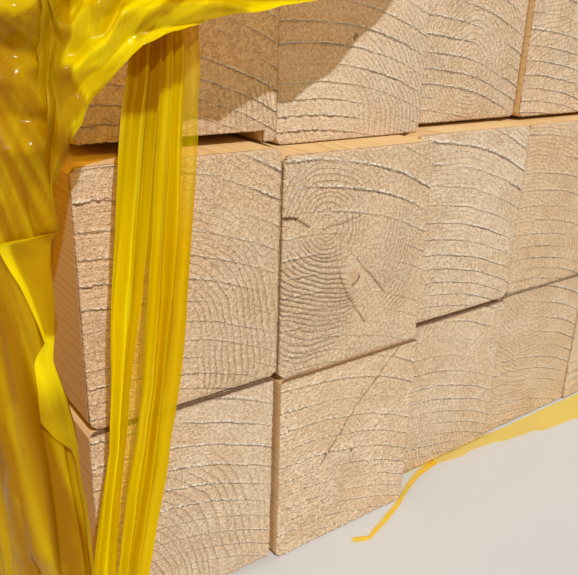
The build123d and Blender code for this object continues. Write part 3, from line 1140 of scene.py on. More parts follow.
y_lines = grid_lines((loose_line_mm, back_mm, hood_along_mm))
x_lines = grid_lines((left_mm, right_mm, hood_around_mm))
z_lines = grid_lines((hem_mm, top_mm, hood_around_mm))
hood_points, hood_quads, _ = join_panels([
    panel(z_lines, y_lines, left_mm, (2, 1, 0)),
    panel(x_lines, y_lines, top_mm, (0, 1, 2)),
    panel(z_lines[::-1], y_lines, right_mm, (2, 1, 0)),
    panel(x_lines, z_lines[::-1], back_mm, (0, 2, 1)),
])
far_mm = 1000.0    # beyond the sheet, on the sides where it has no corner to round
low = np.array([left_mm, -far_mm, -far_mm])
high = np.array([right_mm, back_mm, top_mm])
hood_points = round_corners(hood_points, low, high, tight_radius_mm)
hood_normals = surface_normals(hood_points, hood_quads)
hood_points = hood_points + hood_normals * tight_wrinkles(hood_points)[:, None]
hood = film_piece("film_hood_sheet", hood_points, hood_quads)
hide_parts("film_hood")

# %% [markdown]
# In front of the tight part the film hangs loose and torn. On the left it stands off the
# studs as a drape, above it swings across the ends as a swag, and on the right only a
# short skirt is left. The torn edge is drawn first, and the rows and columns of the
# front panel follow it, which keeps the edge clean where cutting would leave steps.

# %% The torn edge
drape_out_mm, front_out_mm, front_right_mm = 45.0, 47.5, 33.0
drape_edge_mm = [
    (15, -13), (80, -13), (108, -13.4), (129, -13.9), (152, -15.7), (172, -16.9), (186, -19),
    (198, -21.1), (206, -22.5), (236, -20.3), (267, -18.1),
]
swag_edge_mm = [
    (-18.1, 267), (-16.7, 279), (-12.8, 293), (-8, 304.5), (-3, 310.5), (2.2, 318.8), (7, 324),
    (13, 330), (19, 337.5), (24, 342.5), (36, 346.5), (50, 350.4), (66, 354), (83, 356.5),
    (99, 360), (125, 363), (165, 378), (215, 428), (265, 480), (310, 503), (400, 508), (743, 508),
]
swag_start_mm = swag_edge_mm[0]
# How far the drape's edge is turned back to the left over itself, at each height.
turn_back_mm = [
    (15, 4), (80, 3.5), (150, 2.5), (159, 4.3), (167, 11), (175, 15), (190, 12), (198, 10.4),
    (210, 8.3), (216, 4.8), (221.5, 6.5), (232, 10.4), (243, 14.3), (257, 21), (262, 23), (268, 2),
]


def read_table(value, table):
    """The value's place on a table of pairs, straight between its rows."""
    return np.interp(value, *zip(*table))


def drape_edge(z):
    """How far right the drape reaches at a height."""
    return read_table(z, drape_edge_mm) + 0.8 * soft_noise(z / 23, 0.5, 0, 61)


def swag_edge(x):
    """Height of the torn hem above each place across the front."""
    rough = facet_noise(x / 31, 0.5, 0, 62) * smooth_step(x, 130, 200) * 6.0
    return read_table(x, swag_edge_mm) + rough + 0.8 * soft_noise(x / 9, 0.5, 0, 63)


def side_of_film(y):
    """Where the film's left side stands: tight at the back, loose at the front."""
    return left_mm - (left_mm + drape_out_mm) * (1 - smooth_step(y, 50.0, loose_line_mm))


def front_of_film(x):
    """Where the film's front hangs, a little closer to the ends on the right."""
    return -front_out_mm + (front_out_mm - front_right_mm) * np.clip(x / right_mm, 0, 1)


print("drape edge at 200 mm", round(float(drape_edge(200.0)), 1))
print("swag's hem at 60 mm", round(float(swag_edge(60.0)), 1))

# %% [markdown]
# The loose front is one sheet of five panels: left, top and right sides, the swag across the
# front, and the drape's strip below it. Their lines lie close together where the photograph
# shows fine folds and far apart where it shows few, and the swag's rows and the drape's
# columns are squeezed between the box and the torn edge.

# %% Panels of the loose front
x_front = grid_lines(
    (side_of_film(-50.0), swag_start_mm[0], 0.9), (swag_start_mm[0], 70.0, 1.05),
    (70.0, 150.0, 2.5), (150.0, right_mm, 6.0),
)
edge_column = int(np.argmin(abs(x_front - swag_start_mm[0])))
across_share = (x_front - x_front[0]) / (x_front[-1] - x_front[0])
z_low = grid_lines((hem_mm, swag_start_mm[1], 1.5))
z_high = grid_lines((0.0, 0.34, 0.0048), (0.34, 1.0, 0.02))
y_front = grid_lines((-front_out_mm, 40.0, 2.4), (40.0, loose_line_mm, 6.0))
z_left = np.concatenate([z_low, swag_start_mm[1] + z_high[1:] * (top_mm - swag_start_mm[1])])
z_right_hem = float(swag_edge(right_mm))
z_right_low = grid_lines((hem_mm, z_right_hem, 9.0))
z_right = np.concatenate([z_right_low, z_right_hem + z_high[1:] * (top_mm - z_right_hem)])


def loose_panels():
    """The panels of the loose front on their flat box, sharing border points."""
    left, top, right, swag, strip = (
        panel(z_left, y_front, 0.0, (2, 1, 0)),
        panel(across_share, y_front, top_mm, (0, 1, 2)),
        panel(z_right[::-1], y_front, right_mm, (2, 1, 0)),
        panel(x_front, z_high, y_front[0], (0, 2, 1)),
        panel(x_front[: edge_column + 1], z_low, y_front[0], (0, 2, 1)),
    )
    left[0][:, 0] = side_of_film(left[0][:, 1])
    start = side_of_film(top[0][:, 1])
    top[0][:, 0] = start + top[0][:, 0] * (right_mm - start)
    x = swag[0][:, 0]
    hem = np.where(x > swag_start_mm[0] + 0.01, swag_edge(x), swag_start_mm[1])
    swag[0][:, 2] = hem + swag[0][:, 2] * (top_mm - hem)
    reach = drape_edge(strip[0][:, 2])
    reach = np.where(strip[0][:, 2] > z_low[-1] - 0.01, swag_start_mm[0], reach)
    share = (strip[0][:, 0] - x_front[0]) / (swag_start_mm[0] - x_front[0])
    strip[0][:, 0] = x_front[0] + share * (reach - x_front[0])
    return [left, top, right, swag, strip]


front_points, front_quads, front_maps = join_panels(loose_panels())
near_front = 1 - smooth_step(front_points[:, 1], y_front[0], 30.0)
front_points[:, 1] += near_front * (front_of_film(front_points[:, 0]) - y_front[0])
print("loose front", len(front_points), "points", len(front_quads), "quads")

# %% [markdown]
# Film folds differently from cloth: it is stiff for its weight, so its folds are straight
# facets with sharp edges, and a deep fold doubles back under the next one. A zigzag that
# slides the sheet sideways while it lifts it makes such overlaps, and where they lie three
# layers deep the film looks solid. The few sharp creases that catch the light in the
# photograph are set at their own places, as pixels of it brought onto the film's plane.

# %% Creases seen in the photograph
photo_size = (578, 575)
focal_px = lens.lens / lens.sensor_width * photo_size[0]
film_plane_mm = -50.0
crease_px = [
    ([(77, 66), (115, 32), (154, 5), (170, -8)], 4.5, 9),
    ([(0, 14), (12, 16), (36, -2)], 4.0, 9),
    ([(22, 14), (24, 58), (23, 96), (14, 134), (0, 204)], 4.0, 10),
    ([(26, 17), (52, 22), (66, 30)], 2.6, 7),
    ([(71, 24), (72, 36), (64, 55), (48, 79)], -3.6, 9),
    ([(24, 67), (46, 58)], 2.4, 6),
    ([(37, 74), (41, 101)], 2.4, 6),
    ([(36, 115), (26, 149), (14, 192), (2, 238)], 3.4, 8),
    ([(59, 103), (60, 120), (55, 137)], 2.4, 7),
    ([(77, 77), (90, 98)], -2.6, 8),
    ([(144, 38), (168, 24), (206, 2)], 2.8, 7),
    ([(43, 144), (31, 211), (14, 238)], 3.0, 8),
    ([(0, 403), (32, 480), (65, 573)], 3.4, 9),
    ([(0, 373), (21, 437), (43, 498), (52, 560)], 3.2, 8),
    ([(24, 506), (46, 553)], 3.0, 7),
    ([(0, 528), (21, 553), (34, 575)], 3.0, 8),
    ([(4, 253), (30, 240), (52, 218)], 3.4, 7),
    ([(88, 31), (120, 12), (150, -2)], 2.0, 6),
    ([(80, 72), (112, 54), (146, 36), (196, 22)], 2.0, 5),
    ([(100, 66), (124, 44), (160, 18)], 1.6, 5),
    ([(152, 34), (196, 18), (240, 12), (300, 1)], 1.8, 5),
]
crease_share, crease_spread = 0.75, 1.7


def on_film(pixel):
    """Where a pixel of the photograph lies on the film's front plane, as (x, z) in mm."""
    across, down = pixel[0] - photo_size[0] / 2, pixel[1] - photo_size[1] / 2
    ray = camera.matrix_world.to_3x3() @ Vector((across / focal_px, -down / focal_px, -1.0))
    reach = (film_plane_mm - camera_offset_mm[1]) / ray.y
    return (camera_offset_mm[0] + ray.x * reach, camera_offset_mm[2] + ray.z * reach)


creases_mm = [([on_film(p) for p in line], rise, wide) for line, rise, wide in crease_px]


def seen_creases(x, z):
    """Height in mm of the creases placed from the photograph."""
    total = np.zeros_like(x)
    for line, rise, wide in creases_mm:
        near = distance_to_line(x, z, line)
        total = total + crease_share * rise * (1 - smooth_step(near, 0, crease_spread * wide))
    return total


print("creases", len(creases_mm), "first starts at", [round(c, 1) for c in creases_mm[0][0][0]])

# %% [markdown]
# The drape hangs from its upper left in tall narrow folds, and the swag's folds run along its
# torn hem and fan out above it. Both are straight-sided waves with facets on them, counted
# across the folds' own direction. A cloth simulation would give soft round folds, and it
# wouldn't put them where the photograph shows them.

# %% Folds of the loose front
def ramps(turns):
    """A wave of straight ramps from -1 to 1, one wave for each whole turn."""
    return 4 * np.abs(turns - np.floor(turns + 0.5)) - 1


def drape_folds(x, y, z):
    """Where the drape is, and how far in mm its folds slide right and stand out."""
    on_left = smooth_step(y, -42, -24)
    girth = (x + drape_out_mm) * (1 - on_left) - (y + front_out_mm) * on_left
    lean = girth + 0.1 * (z - 270)
    turns = lean / 11.5 + 0.8 * soft_noise(lean / 30, z / 190, 0, 71)
    inside = (1 - smooth_step(z, 225, 330)) * (1 - smooth_step(x, -12, 10))
    inside = inside * (1 - smooth_step(y, 20, 90))
    below = drape_edge(np.minimum(z, swag_start_mm[1])) - x
    from_edge = np.where(z < swag_start_mm[1], below, 20.0)
    steady = 0.25 + 0.75 * smooth_step(from_edge, 0.0, 8.0)
    deep = smooth_step(soft_noise(lean / 25, z / 120, 0, 72), -0.5, 0.4)
    wave = ramps(turns)
    slide = 3.6 * wave * deep * inside * (1 - on_left) * smooth_step(from_edge, 0.0, 9.0)
    out = (1.5 + 2.2 * deep) * wave
    out = out + 2.6 * facet_noise(lean / 9, z / 75, 0, 76)
    out = out + 1.2 * facet_noise(lean / 4.5, z / 36, 0, 77)
    return inside, steady, slide, out


def swag_folds(x, y, z):
    """Where the swag is, how far in mm its folds slide and stand out, and its hem's slope."""
    clear_x = np.clip(x, swag_start_mm[0], right_mm)
    slope = (swag_edge(clear_x + 5) - swag_edge(clear_x - 5)) / 10
    above = (z - swag_edge(clear_x)) / np.sqrt(1 + slope**2)
    run = x * 0.9 + 0.35 * z
    fan = above / (10.5 + 0.14 * np.clip(above, 0, 200))
    fan = fan + 0.7 * soft_noise(run / 55, above / 40, 0, 73)
    fan = fan + 0.006 * (x - 60)
    inside = smooth_step(z, 250, 320) * (1 - smooth_step(y, -25, 5))
    inside = inside * (1 - smooth_step(above, 110, 200))
    inside = inside * smooth_step(x, -44, -20)
    full = smooth_step(soft_noise(run / 38, above / 26, 0, 74), -0.5, 0.4)
    wave = ramps(fan + 0.2)
    slide = 3.2 * wave * full * inside * smooth_step(above, 2, 12)
    out = (1.5 + 2.0 * full) * wave
    out = out + 2.6 * facet_noise(above / 11, run / 48, 0, 79)
    out = out + 1.0 * facet_noise(above / 5, run / 21, 0, 80)
    return inside, slide, out, np.arctan(slope)


print("a ramp wave at 0, a quarter and a half turn", ramps(np.array([0.0, 0.25, 0.5])))

# %% [markdown]
# The folds of the drape and the swag are joined by coarse crumpling and a slow billow, and
# the creases seen in the photograph are laid over them. The sheet is first rounded at the
# box's corners, more at the loose front than behind it, and then moved.

# %% The loose front's shape
deepest_mm, highest_mm, loose_radius_mm = -12.0, 13.0, 25.0


def loose_folds(points):
    """How far in mm each point of the loose front slides right and up, and stands out."""
    x, y, z = points.T
    loose = 1 - smooth_step(y, 60, loose_line_mm)
    in_drape, steady, drape_slide, drape = drape_folds(x, y, z)
    in_swag, swag_slide, swag, steep = swag_folds(x, y, z)
    slide_right = drape_slide - swag_slide * np.sin(steep)
    slide_up = swag_slide * np.cos(steep)
    rough = 2.6 * crumple(points, 58, 75)
    billow = 2.5 * soft_noise(x / 130, y / 130, z / 130, 81)
    calm = np.clip(in_drape + in_swag, 0, 1)
    out = drape * in_drape + swag * in_swag + rough * (1 - 0.7 * calm) + billow
    out = out + seen_creases(x, z) * (1 - smooth_step(y, -30, -15))
    out = np.clip(out, deepest_mm, highest_mm) * loose * steady
    return slide_right, slide_up, out + tight_wrinkles(points) * (1 - loose)


at_front = 1 - smooth_step(front_points[:, 1], 10, loose_line_mm)
radius = (tight_radius_mm + (loose_radius_mm - tight_radius_mm) * at_front)[:, None]
side, before = side_of_film(front_points[:, 1]), front_of_film(front_points[:, 0])
low = np.stack([side, before, np.full(len(front_points), -far_mm)], axis=1)
high = np.array([right_mm, far_mm, top_mm])
front_points = round_corners(front_points, low, high, radius)
front_normals = surface_normals(front_points, front_quads)
slide_right, slide_up, out = loose_folds(front_points)
front_points = front_points + front_normals * out[:, None]
front_points[:, 0] += slide_right
front_points[:, 2] += slide_up
print("folds stand out by", round(out.min(), 1), "to", round(out.max(), 1), "mm")

# %% [markdown]
# The drape's torn edge is turned back over itself, which makes the bright doubled bands
# along it. The turned part starts from the edge's own points and runs back to the left,
# just in front of the drape.

# %% The turned edge of the drape
turn_columns = 12
seek_mm = 2.5    # how near a point of the drape must be to lie behind the turned part
smoothing = (0.1, 0.2, 0.4, 0.2, 0.1)
strip_index = front_maps[-1].reshape(edge_column + 1, len(z_low))
turned = []
for row, z in enumerate(z_low):
    layer = front_points[strip_index[:, row]]
    width = float(read_table(z, turn_back_mm))
    line = []
    for step in range(1, turn_columns + 1):
        share = step / turn_columns
        x = layer[-1, 0] - width * share
        near = layer[abs(layer[:, 0] - x) < seek_mm]
        before = near[:, 1].min() if len(near) else layer[-1, 1]
        lift = 0.9 + 1.6 * share**3 + 0.8 * float(facet_noise(x / 7, z / 16, 0, 64)) * share
        line.append((x, before - lift, layer[-1, 2] + 0.12 * width * share))
    turned.append(line)
turned = np.array(turned)
for step in range(turn_columns):
    padded = np.pad(turned[:, step, 1], 2, "edge")
    turned[:, step, 1] = np.convolve(padded, smoothing, "valid")
first = len(front_points)
turned_index = first + np.arange(turned.shape[0] * turned.shape[1]).reshape(turned.shape[:2])
turned_index = np.hstack([strip_index[-1][:, None], turned_index])
front_points = np.vstack([front_points, turned.reshape(-1, 3)])
front_quads = np.vstack([front_quads, grid_quads(turned_index, flip=True)])
front_area = sheet_area(front_points, front_quads)
print("turned edge", turned.shape[0], "rows, the front's area", round(front_area, 3))

# %% [markdown]
# Where the film lies folded on itself it hides more and its yellow deepens to amber, and
# where it lies in shade the amber is painted shade. Those places are drawn as outlines on the
# photograph, each with how deep it looks. They could be found from the folds, but the
# photograph's own bands are what a viewer compares.

# %% Bunched and single places of the loose front
# Each outline: how amber (deeper colour of bunched film, and painted shade), how many layers (0
# single, 1 bunched), and its corners in pixels.
film_places_px = [
    (0.90, 0.93, [(-30, -30), (72, -30), (95, 600), (-30, 600)]),
    (0.15, 0.90, [(72, -30), (400, -30), (400, 60), (72, 160)]),
    (0.80, 0.97, [
        (42, -5), (69, -5), (73, 28), (71, 38), (64, 51), (62, 61), (51, 71), (42, 66), (25, 70),
        (25, 42), (22, 15), (30, 10),
    ]),
    (0.42, 0.90, [(-5, -5), (42, -5), (30, 8), (14, 15), (-5, 9)]),
    (0.95, 0.95, [(-5, 20), (15, 20), (15, 60), (19, 121), (5, 118), (-5, 116)]),
    (0.85, 0.92, [
        (15, 25), (25, 25), (25, 76), (20, 121), (12, 160), (6, 203), (-5, 203), (-5, 150),
        (10, 112), (14, 70),
    ]),
    (0.90, 0.97, [
        (25, 76), (34, 71), (37, 108), (28, 140), (20, 200), (12, 200), (13, 178), (20, 127),
    ]),
    (0.78, 0.90, [(38, 68), (57, 66), (56, 102), (51, 110), (38, 108)]),
    (0.88, 0.92, [(37, 108), (54, 111), (51, 147), (42, 153), (32, 203), (19, 203), (28, 140)]),
    (0.75, 0.78, [(74, 79), (89, 101), (76, 122), (61, 116), (62, 87)]),
    (0.25, 0.97, [(70, -5), (88, -5), (92, 31), (82, 42), (76, 64), (62, 66), (64, 51), (73, 36)]),
    (0.48, 0.92, [(88, -5), (140, -5), (120, 12), (105, 24), (93, 31)]),
    (0.10, 0.95, [(76, 64), (107, 38), (126, 29), (140, 42), (120, 66), (92, 104), (79, 79)]),
    (0.00, 0.55, [(80, 70), (118, 64), (92, 104), (77, 79)]),
    (0.75, 0.92, [(134, 33), (147, 14), (176, -5), (192, -5), (158, 22), (147, 39), (136, 43)]),
    (0.45, 0.90, [(112, 28), (134, 12), (140, 16), (124, 30)]),
    (0.35, 0.85, [(223, -5), (253, -5), (248, 10), (223, 16)]),
    (0.80, 0.80, [(46, 146), (68, 138), (62, 168), (55, 195), (53, 215), (25, 231), (35, 190)]),
    (0.62, 0.55, [(5, 251), (51, 218), (58, 230), (58, 334), (41, 334), (25, 279)]),
    (1.00, 0.93, [(-20, 300), (10, 330), (24, 400), (-20, 420)]),
    (0.80, 0.92, [(20, 330), (36, 372), (36, 417), (78, 456), (84, 500), (50, 480), (24, 400)]),
    (0.72, 0.92, [(-5, 473), (20, 500), (28, 580), (-5, 580)]),
]


print("places on the film", len(film_places_px))

# %% [markdown]
# Every point of the sheet is brought into the photograph's pixels by the camera set above,
# and takes the value of the last outline that it lies in, softly over a few pixels.

# %% From points to places
def photo_pixels(points):
    """Where points in mm from the corner show in the photograph."""
    view = camera.matrix_world.inverted()
    turn_part = np.array(view.to_3x3())
    seen = (corner + points * MM) @ turn_part.T + np.array(view.translation)
    depth = np.maximum(-seen[:, 2], 1e-3)
    x = photo_size[0] / 2 + focal_px * seen[:, 0] / depth
    y = photo_size[1] / 2 - focal_px * seen[:, 1] / depth
    return x, y


def inside_outline(x, y, outline, soft):
    """1 inside a closed outline, 0 outside, smooth over a few pixels at its edge."""
    ring = outline + outline[:1]
    inside = np.zeros(x.shape, bool)
    for (x0, y0), (x1, y1) in zip(ring[:-1], ring[1:]):
        if y0 != y1:
            inside ^= ((y0 > y) != (y1 > y)) & (x < x0 + (y - y0) * (x1 - x0) / (y1 - y0))
    near = distance_to_line(x, y, ring)
    return smooth_step(np.where(inside, near, -near), -soft, soft)


seen_x, seen_y = photo_pixels(front_points)
unseen_amber, unseen_layers, outline_soft_px = 0.45, 0.85, 1.6
front_amber = np.full(len(front_points), unseen_amber)
front_layers = np.full(len(front_points), unseen_layers)
for deep, many, outline in film_places_px:
    part = inside_outline(seen_x, seen_y, outline, outline_soft_px)
    front_amber = front_amber * (1 - part) + deep * part
    front_layers = front_layers * (1 - part) + many * part
front_amber = 0.12 + 0.88 * front_amber
print("amber from", round(front_amber.min(), 2), "to", round(front_amber.max(), 2))

# %% [markdown]
# Inside those places the film isn't even. Fine folds fan out down the drape from where it is
# gathered, as streaks in the amber that are partly the deeper colour of overlapping film and
# partly painted light and shade, and each crease gets a painted highlight, a soft bright line,
# most of all in the swag. The turned edge is one layer near its top, but for its border. These
# are added last.

# %% Fine folds, painted crease highlights and the turned edge
fan_from_px, fan_below_px, fan_left_of_px = (-90, -60), (110, 180), (75, 95)
swag_from_px, crease_line_px = (50, 90), (0.8, 4.0)
single_above_mm, lower_below_mm, border_share = (217, 221), (178, 204), (0.72, 0.86)
fan_angle = np.degrees(np.arctan2(seen_x - fan_from_px[0], seen_y - fan_from_px[1]))
fine_fan = facet_noise(fan_angle / 1.6, seen_y / 150, 0, 301)
fine_fan = fine_fan + 0.6 * facet_noise(fan_angle / 0.7, seen_y / 90, 0, 302)
in_fan = smooth_step(seen_y, *fan_below_px) * (1 - smooth_step(seen_x, *fan_left_of_px))
# The fine folds as streaks in the amber: deeper colour of overlapping film, and painted light and
# shade.
front_amber = front_amber + (0.1 + 0.16 * in_fan) * fine_fan
swag_share = smooth_step(seen_x, *swag_from_px)
# Painted highlight: the amber is lifted along each crease as a soft bright line.
for line, _, _ in crease_px:
    bright = 1 - smooth_step(distance_to_line(seen_x, seen_y, line), *crease_line_px)
    front_amber = front_amber - (0.04 + 0.26 * swag_share) * bright
turned_share = np.tile(np.arange(1, turn_columns + 1) / turn_columns, len(z_low))
turned_z = np.repeat(z_low, turn_columns)
border = smooth_step(turned_share, *border_share)
single = smooth_step(turned_z, *single_above_mm) * (1 - border)
lower = 1 - smooth_step(turned_z, *lower_below_mm)
uneven = 0.1 * facet_noise(turned_share * 3, turned_z / 14, 0, 303)
front_amber[first:] = 0.5 * single + 0.75 * lower + uneven
front_layers[first:] = 0.95 - 0.5 * single
front = film_piece("film_front_sheet", front_points, front_quads, front_layers, front_amber)
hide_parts("film_curtain")

# %% [markdown]
# One torn strip of the swag hangs straight down before the first column of ends. It is
# gathered into narrow pleats that lie flat on each other, so it looks solid where three
# layers overlap and clear where there is one. These tables hold its outline, its fold lines
# and how each pleat looks, read from the photograph.

# %% Outline and pleats of the ribbon
ribbon_heights_mm = [352, 335, 316, 301, 273, 237, 210, 175, 148, 118, 74, 57, 15]
ribbon_left_mm = [25, 21.5, 17.7, 15.3, 12.2, 8.2, 5.4, 2.8, 0.2, -5.5, -13.2, -13.6, -13]
ribbon_right_mm = [57.3, 56.8, 55.4, 54.7, 52.7, 49.3, 46.8, 42.3, 37, 31.8, 22.6, 18.8, 13]
# Each fold line: its share of the width at the heights below, then how far it stands out.
fold_heights_mm = (15, 74, 120, 176, 228, 302, 352)
fold_lines = [
    ((0.00, 0.00, 0.00, 0.00, 0.00, 0.00, 0.00), 2.0),
    ((0.12, 0.12, 0.08, 0.08, 0.09, 0.16, 0.20), -2.6),
    ((0.20, 0.19, 0.14, 0.14, 0.16, 0.22, 0.24), 3.2),
    ((0.28, 0.27, 0.19, 0.18, 0.23, 0.30, 0.32), 1.0),
    ((0.36, 0.33, 0.23, 0.22, 0.29, 0.37, 0.38), -2.8),
    ((0.40, 0.36, 0.27, 0.26, 0.36, 0.44, 0.43), 2.4),
    ((0.46, 0.48, 0.43, 0.48, 0.50, 0.51, 0.50), -1.5),
    ((0.54, 0.55, 0.52, 0.56, 0.58, 0.59, 0.60), 3.0),
    ((0.68, 0.66, 0.66, 0.67, 0.68, 0.64, 0.64), -2.2),
    ((0.76, 0.74, 0.73, 0.73, 0.75, 0.74, 0.74), 2.8),
    ((0.86, 0.84, 0.83, 0.82, 0.82, 0.83, 0.84), -2.4),
    ((1.00, 1.00, 1.00, 1.00, 1.00, 1.00, 1.00), 1.0),
]
# Each pleat between two fold lines: how amber (deeper colour of bunched film, and painted shade)
# and how bunched, at its foot, middle and top.
pleat_looks = [
    ((0.15, 0.12, 0.55), (0.9, 0.9, 0.9)),
    ((0.40, 0.30, 0.75), (0.95, 0.95, 0.95)),
    ((0.00, 0.00, 0.45), (0.97, 0.97, 0.95)),
    ((0.05, 0.00, 0.55), (0.97, 0.97, 0.95)),
    ((0.35, 0.50, 0.75), (0.95, 0.95, 0.95)),
    ((0.30, 0.10, 0.60), (0.6, 0.12, 0.8)),
    ((0.40, 0.40, 0.50), (0.9, 0.9, 0.95)),
    ((0.10, 0.15, 0.30), (0.75, 0.7, 0.9)),
    ((0.45, 0.45, 0.35), (0.7, 0.65, 0.9)),
    ((0.20, 0.25, 0.15), (0.75, 0.65, 0.8)),
    ((0.32, 0.45, 0.00), (0.75, 0.65, 0.2)),
]
# The heights in mm at which a pleat's amber and its layers are given.
amber_heights_mm, layer_heights_mm = (60, 215, 335), (100, 215, 300)
# The sixth pleat is the clear strip; its looks change at heights of its own.
clear_pleat, clear_heights_mm = 5, (56, 74, 236, 262)
clear_amber, clear_layers = (0.2, 0.0, 0.0, 0.45), (0.9, 0.0, 0.1, 0.85)
# A painted shadow of the swag makes the ribbon's top more amber, down to a torn slanting line.
swag_shadow_line_mm = ((0, 0.45, 0.55, 0.85, 1), (312, 314, 322, 326, 334))
print("fold lines", len(fold_lines), "pleats", len(pleat_looks))

# %% [markdown]
# The ribbon's section is drawn as a zigzag of fold lines, and each fold line runs down the
# whole strip on a course of its own, so neighbouring pleats cross and overlap as they do in
# gathered film. One flat strip with painted stripes wouldn't change with the view.

# %% The ribbon
ribbon_middle_mm, ribbon_step_mm = -42.5, 2.0
top_leans_back_mm, top_starts_mm = 3.0, (325, 352)
cells_in_pleat = 6


def ribbon_sheet():
    """Points, ambers and layers of the gathered strip, fold line by fold line."""
    heights = np.arange(ribbon_heights_mm[0], ribbon_heights_mm[-1] - 1, -ribbon_step_mm)
    order = np.argsort(ribbon_heights_mm)
    tall = np.array(ribbon_heights_mm)[order]
    left = np.interp(heights, tall, np.array(ribbon_left_mm)[order])
    right = np.interp(heights, tall, np.array(ribbon_right_mm)[order])
    columns = []
    for index, (shares, stands) in enumerate(fold_lines):
        share = np.interp(heights, fold_heights_mm, shares)
        wander = 0.7 * soft_noise(heights / 60, index * 1.9, 0, 91)
        inner = 0 < index < len(fold_lines) - 1
        x = left + share * (right - left) + wander * (1.0 if inner else 0.3)
        depth = -stands * (1 + 0.35 * soft_noise(heights / 50, index * 2.3, 0, 92))
        back = top_leans_back_mm * smooth_step(heights, *top_starts_mm)
        columns.append(np.stack([x, ribbon_middle_mm + depth + back, heights], axis=1))
    rows, ambers, layers = [], [], []
    for index, (first, second) in enumerate(zip(columns[:-1], columns[1:])):
        deep = np.interp(heights, amber_heights_mm, pleat_looks[index][0])
        many = np.interp(heights, layer_heights_mm, pleat_looks[index][1])
        if index == clear_pleat:
            deep = np.interp(heights, clear_heights_mm, clear_amber)
            many = np.interp(heights, clear_heights_mm, clear_layers)
        for cell in range(cells_in_pleat):
            t = cell / cells_in_pleat
            rows.append(first * (1 - t) + second * t)
            crest = 0.25 * (cell == 0) * facet_noise(heights / 40, index * 1.7, 0, 98)
            uneven = 0.24 * facet_noise(cell / 1.7 + index * 3, heights / 130, 0, 99)
            ambers.append(deep + uneven + crest)
            layers.append(many)
    rows.append(columns[-1])
    ambers.append(ambers[-1])
    layers.append(layers[-1])
    ambers = np.stack(ambers, axis=0)
    # Painted shadow of the swag over the ribbon's top.
    line = np.interp(np.linspace(0, 1, len(rows)), *swag_shadow_line_mm)[:, None]
    ambers = ambers + 0.5 * smooth_step(heights[None, :], line - 2, line + 2)
    return np.stack(rows, axis=0), ambers, np.stack(layers, axis=0)


strip, ribbon_amber, ribbon_layers = ribbon_sheet()
strip_quads = grid_quads(np.arange(ribbon_amber.size).reshape(ribbon_amber.shape))
strip = strip.reshape(-1, 3)
facets = 1.0 * facet_noise(strip[:, 0] / 8, strip[:, 2] / 45, 0, 93)
facets = facets + 0.6 * facet_noise(strip[:, 0] / 3.5, strip[:, 2] / 16, 0, 94)
strip[:, 1] += facets
ribbon_area = sheet_area(strip, strip_quads)
ribbon_values = ribbon_layers.reshape(-1), ribbon_amber.reshape(-1)
ribbon = film_piece("film_ribbon_sheet", strip, strip_quads, *ribbon_values)
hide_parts("film_ribbon")

# %% [markdown]
# On the right a flap of the same film lies on the floor before the bottom row. It rests on
# the floor and rises only at its creases, more toward its torn edge than where it comes from
# under the studs.

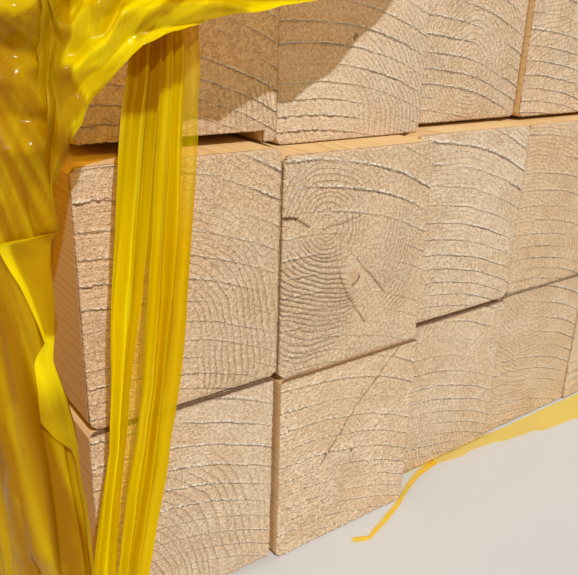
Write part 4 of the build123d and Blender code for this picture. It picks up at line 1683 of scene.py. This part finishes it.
# %% The flap on the floor
flap_low, flap_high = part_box("film_floor_flap")
flap_left = (flap_low.x - left_side) / MM
flap_right = (flap_high.x - left_side) / MM
flap_back = (flap_high.y - front_plane) / MM
flap_front = (flap_low.y - front_plane) / MM
film_lift_mm, crease_rise_mm = 0.4, 5.5
along = grid_lines((0.0, 1.0, 0.008))
across = grid_lines((0.0, 1.0, 0.05))
share_x, share_y = (g.reshape(-1) for g in np.meshgrid(along, across, indexing="ij"))
flap_x = flap_left + share_x * (flap_right - flap_left)
edge = flap_back + (flap_front - flap_back) * share_x**0.9
edge = edge + 4.0 * soft_noise(share_x * 14, 0.5, 0, 95)
flap_y = flap_back - film_lift_mm + share_y * (np.minimum(edge, flap_back - 3) - flap_back)
bumps = np.clip(crumple(np.stack([flap_x, flap_y, flap_x * 0], axis=1), 42, 96) + 0.25, 0, 2)
flap_z = film_lift_mm + crease_rise_mm * bumps * (0.3 + 0.7 * share_y)
flap_points = np.stack([flap_x, flap_y, flap_z], axis=1)
flap_index = np.arange(len(flap_points)).reshape(len(along), len(across))
flap_quads = grid_quads(flap_index, flip=True)
flap_area = sheet_area(flap_points, flap_quads)
flap = film_piece("film_floor_sheet", flap_points, flap_quads)
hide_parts("film_floor_flap")

# %% [markdown]
# A thin torn strand runs left from the flap. It is a strip about 10 mm wide that has rolled
# up, open along one side, and turns slowly about its course. A round tube would be easier,
# but it would look like a cord.

# %% The strand on the floor
strand_path_mm = [
    (302, -4), (277, -8), (255, -17), (236, -27), (212, -36), (191, -43), (179, -38),
]
strand_step_mm, strand_curl_mm, half_turn, strand_lines = 1.5, 2.5, 2.9, 9
path = np.array(strand_path_mm, float)
reach = np.concatenate([[0], np.cumsum(np.hypot(*np.diff(path, axis=0).T))])
at = np.arange(0, reach[-1], strand_step_mm)
line_x, line_y = np.interp(at, reach, path[:, 0]), np.interp(at, reach, path[:, 1])
curl_mm = strand_curl_mm * (1 - 0.35 * at / reach[-1])
curl_mm = curl_mm * (1 + 0.25 * soft_noise(at / 9, 0.5, 0, 97))
strand_columns = []
for turn in np.linspace(-half_turn, half_turn, strand_lines):
    angle = turn + at / 40
    sideways = curl_mm * np.sin(angle)
    rise = curl_mm * (1.05 - np.cos(angle)) + 0.3
    strand_columns.append(np.stack([line_x + 0.5 * sideways, line_y + sideways, rise], axis=1))
strand_points = np.stack(strand_columns, axis=0).reshape(-1, 3)
strand_quads = grid_quads(np.arange(len(strand_points)).reshape(-1, len(at)))
strand_area = sheet_area(strand_points, strand_quads)
strand = film_piece("film_strand", strand_points, strand_quads)

# %% [markdown]
# The area of each sheet of film, as drawn, is added up.

# %% Area of the film
hood_area = sheet_area(hood_points, hood_quads)
film_area = hood_area + front_area + ribbon_area + flap_area + strand_area
print("film in all", round(film_area, 2), "square metres")

# %% [markdown]
# The drawn model may stand a little proud of the CAD box, as film does, and no more.
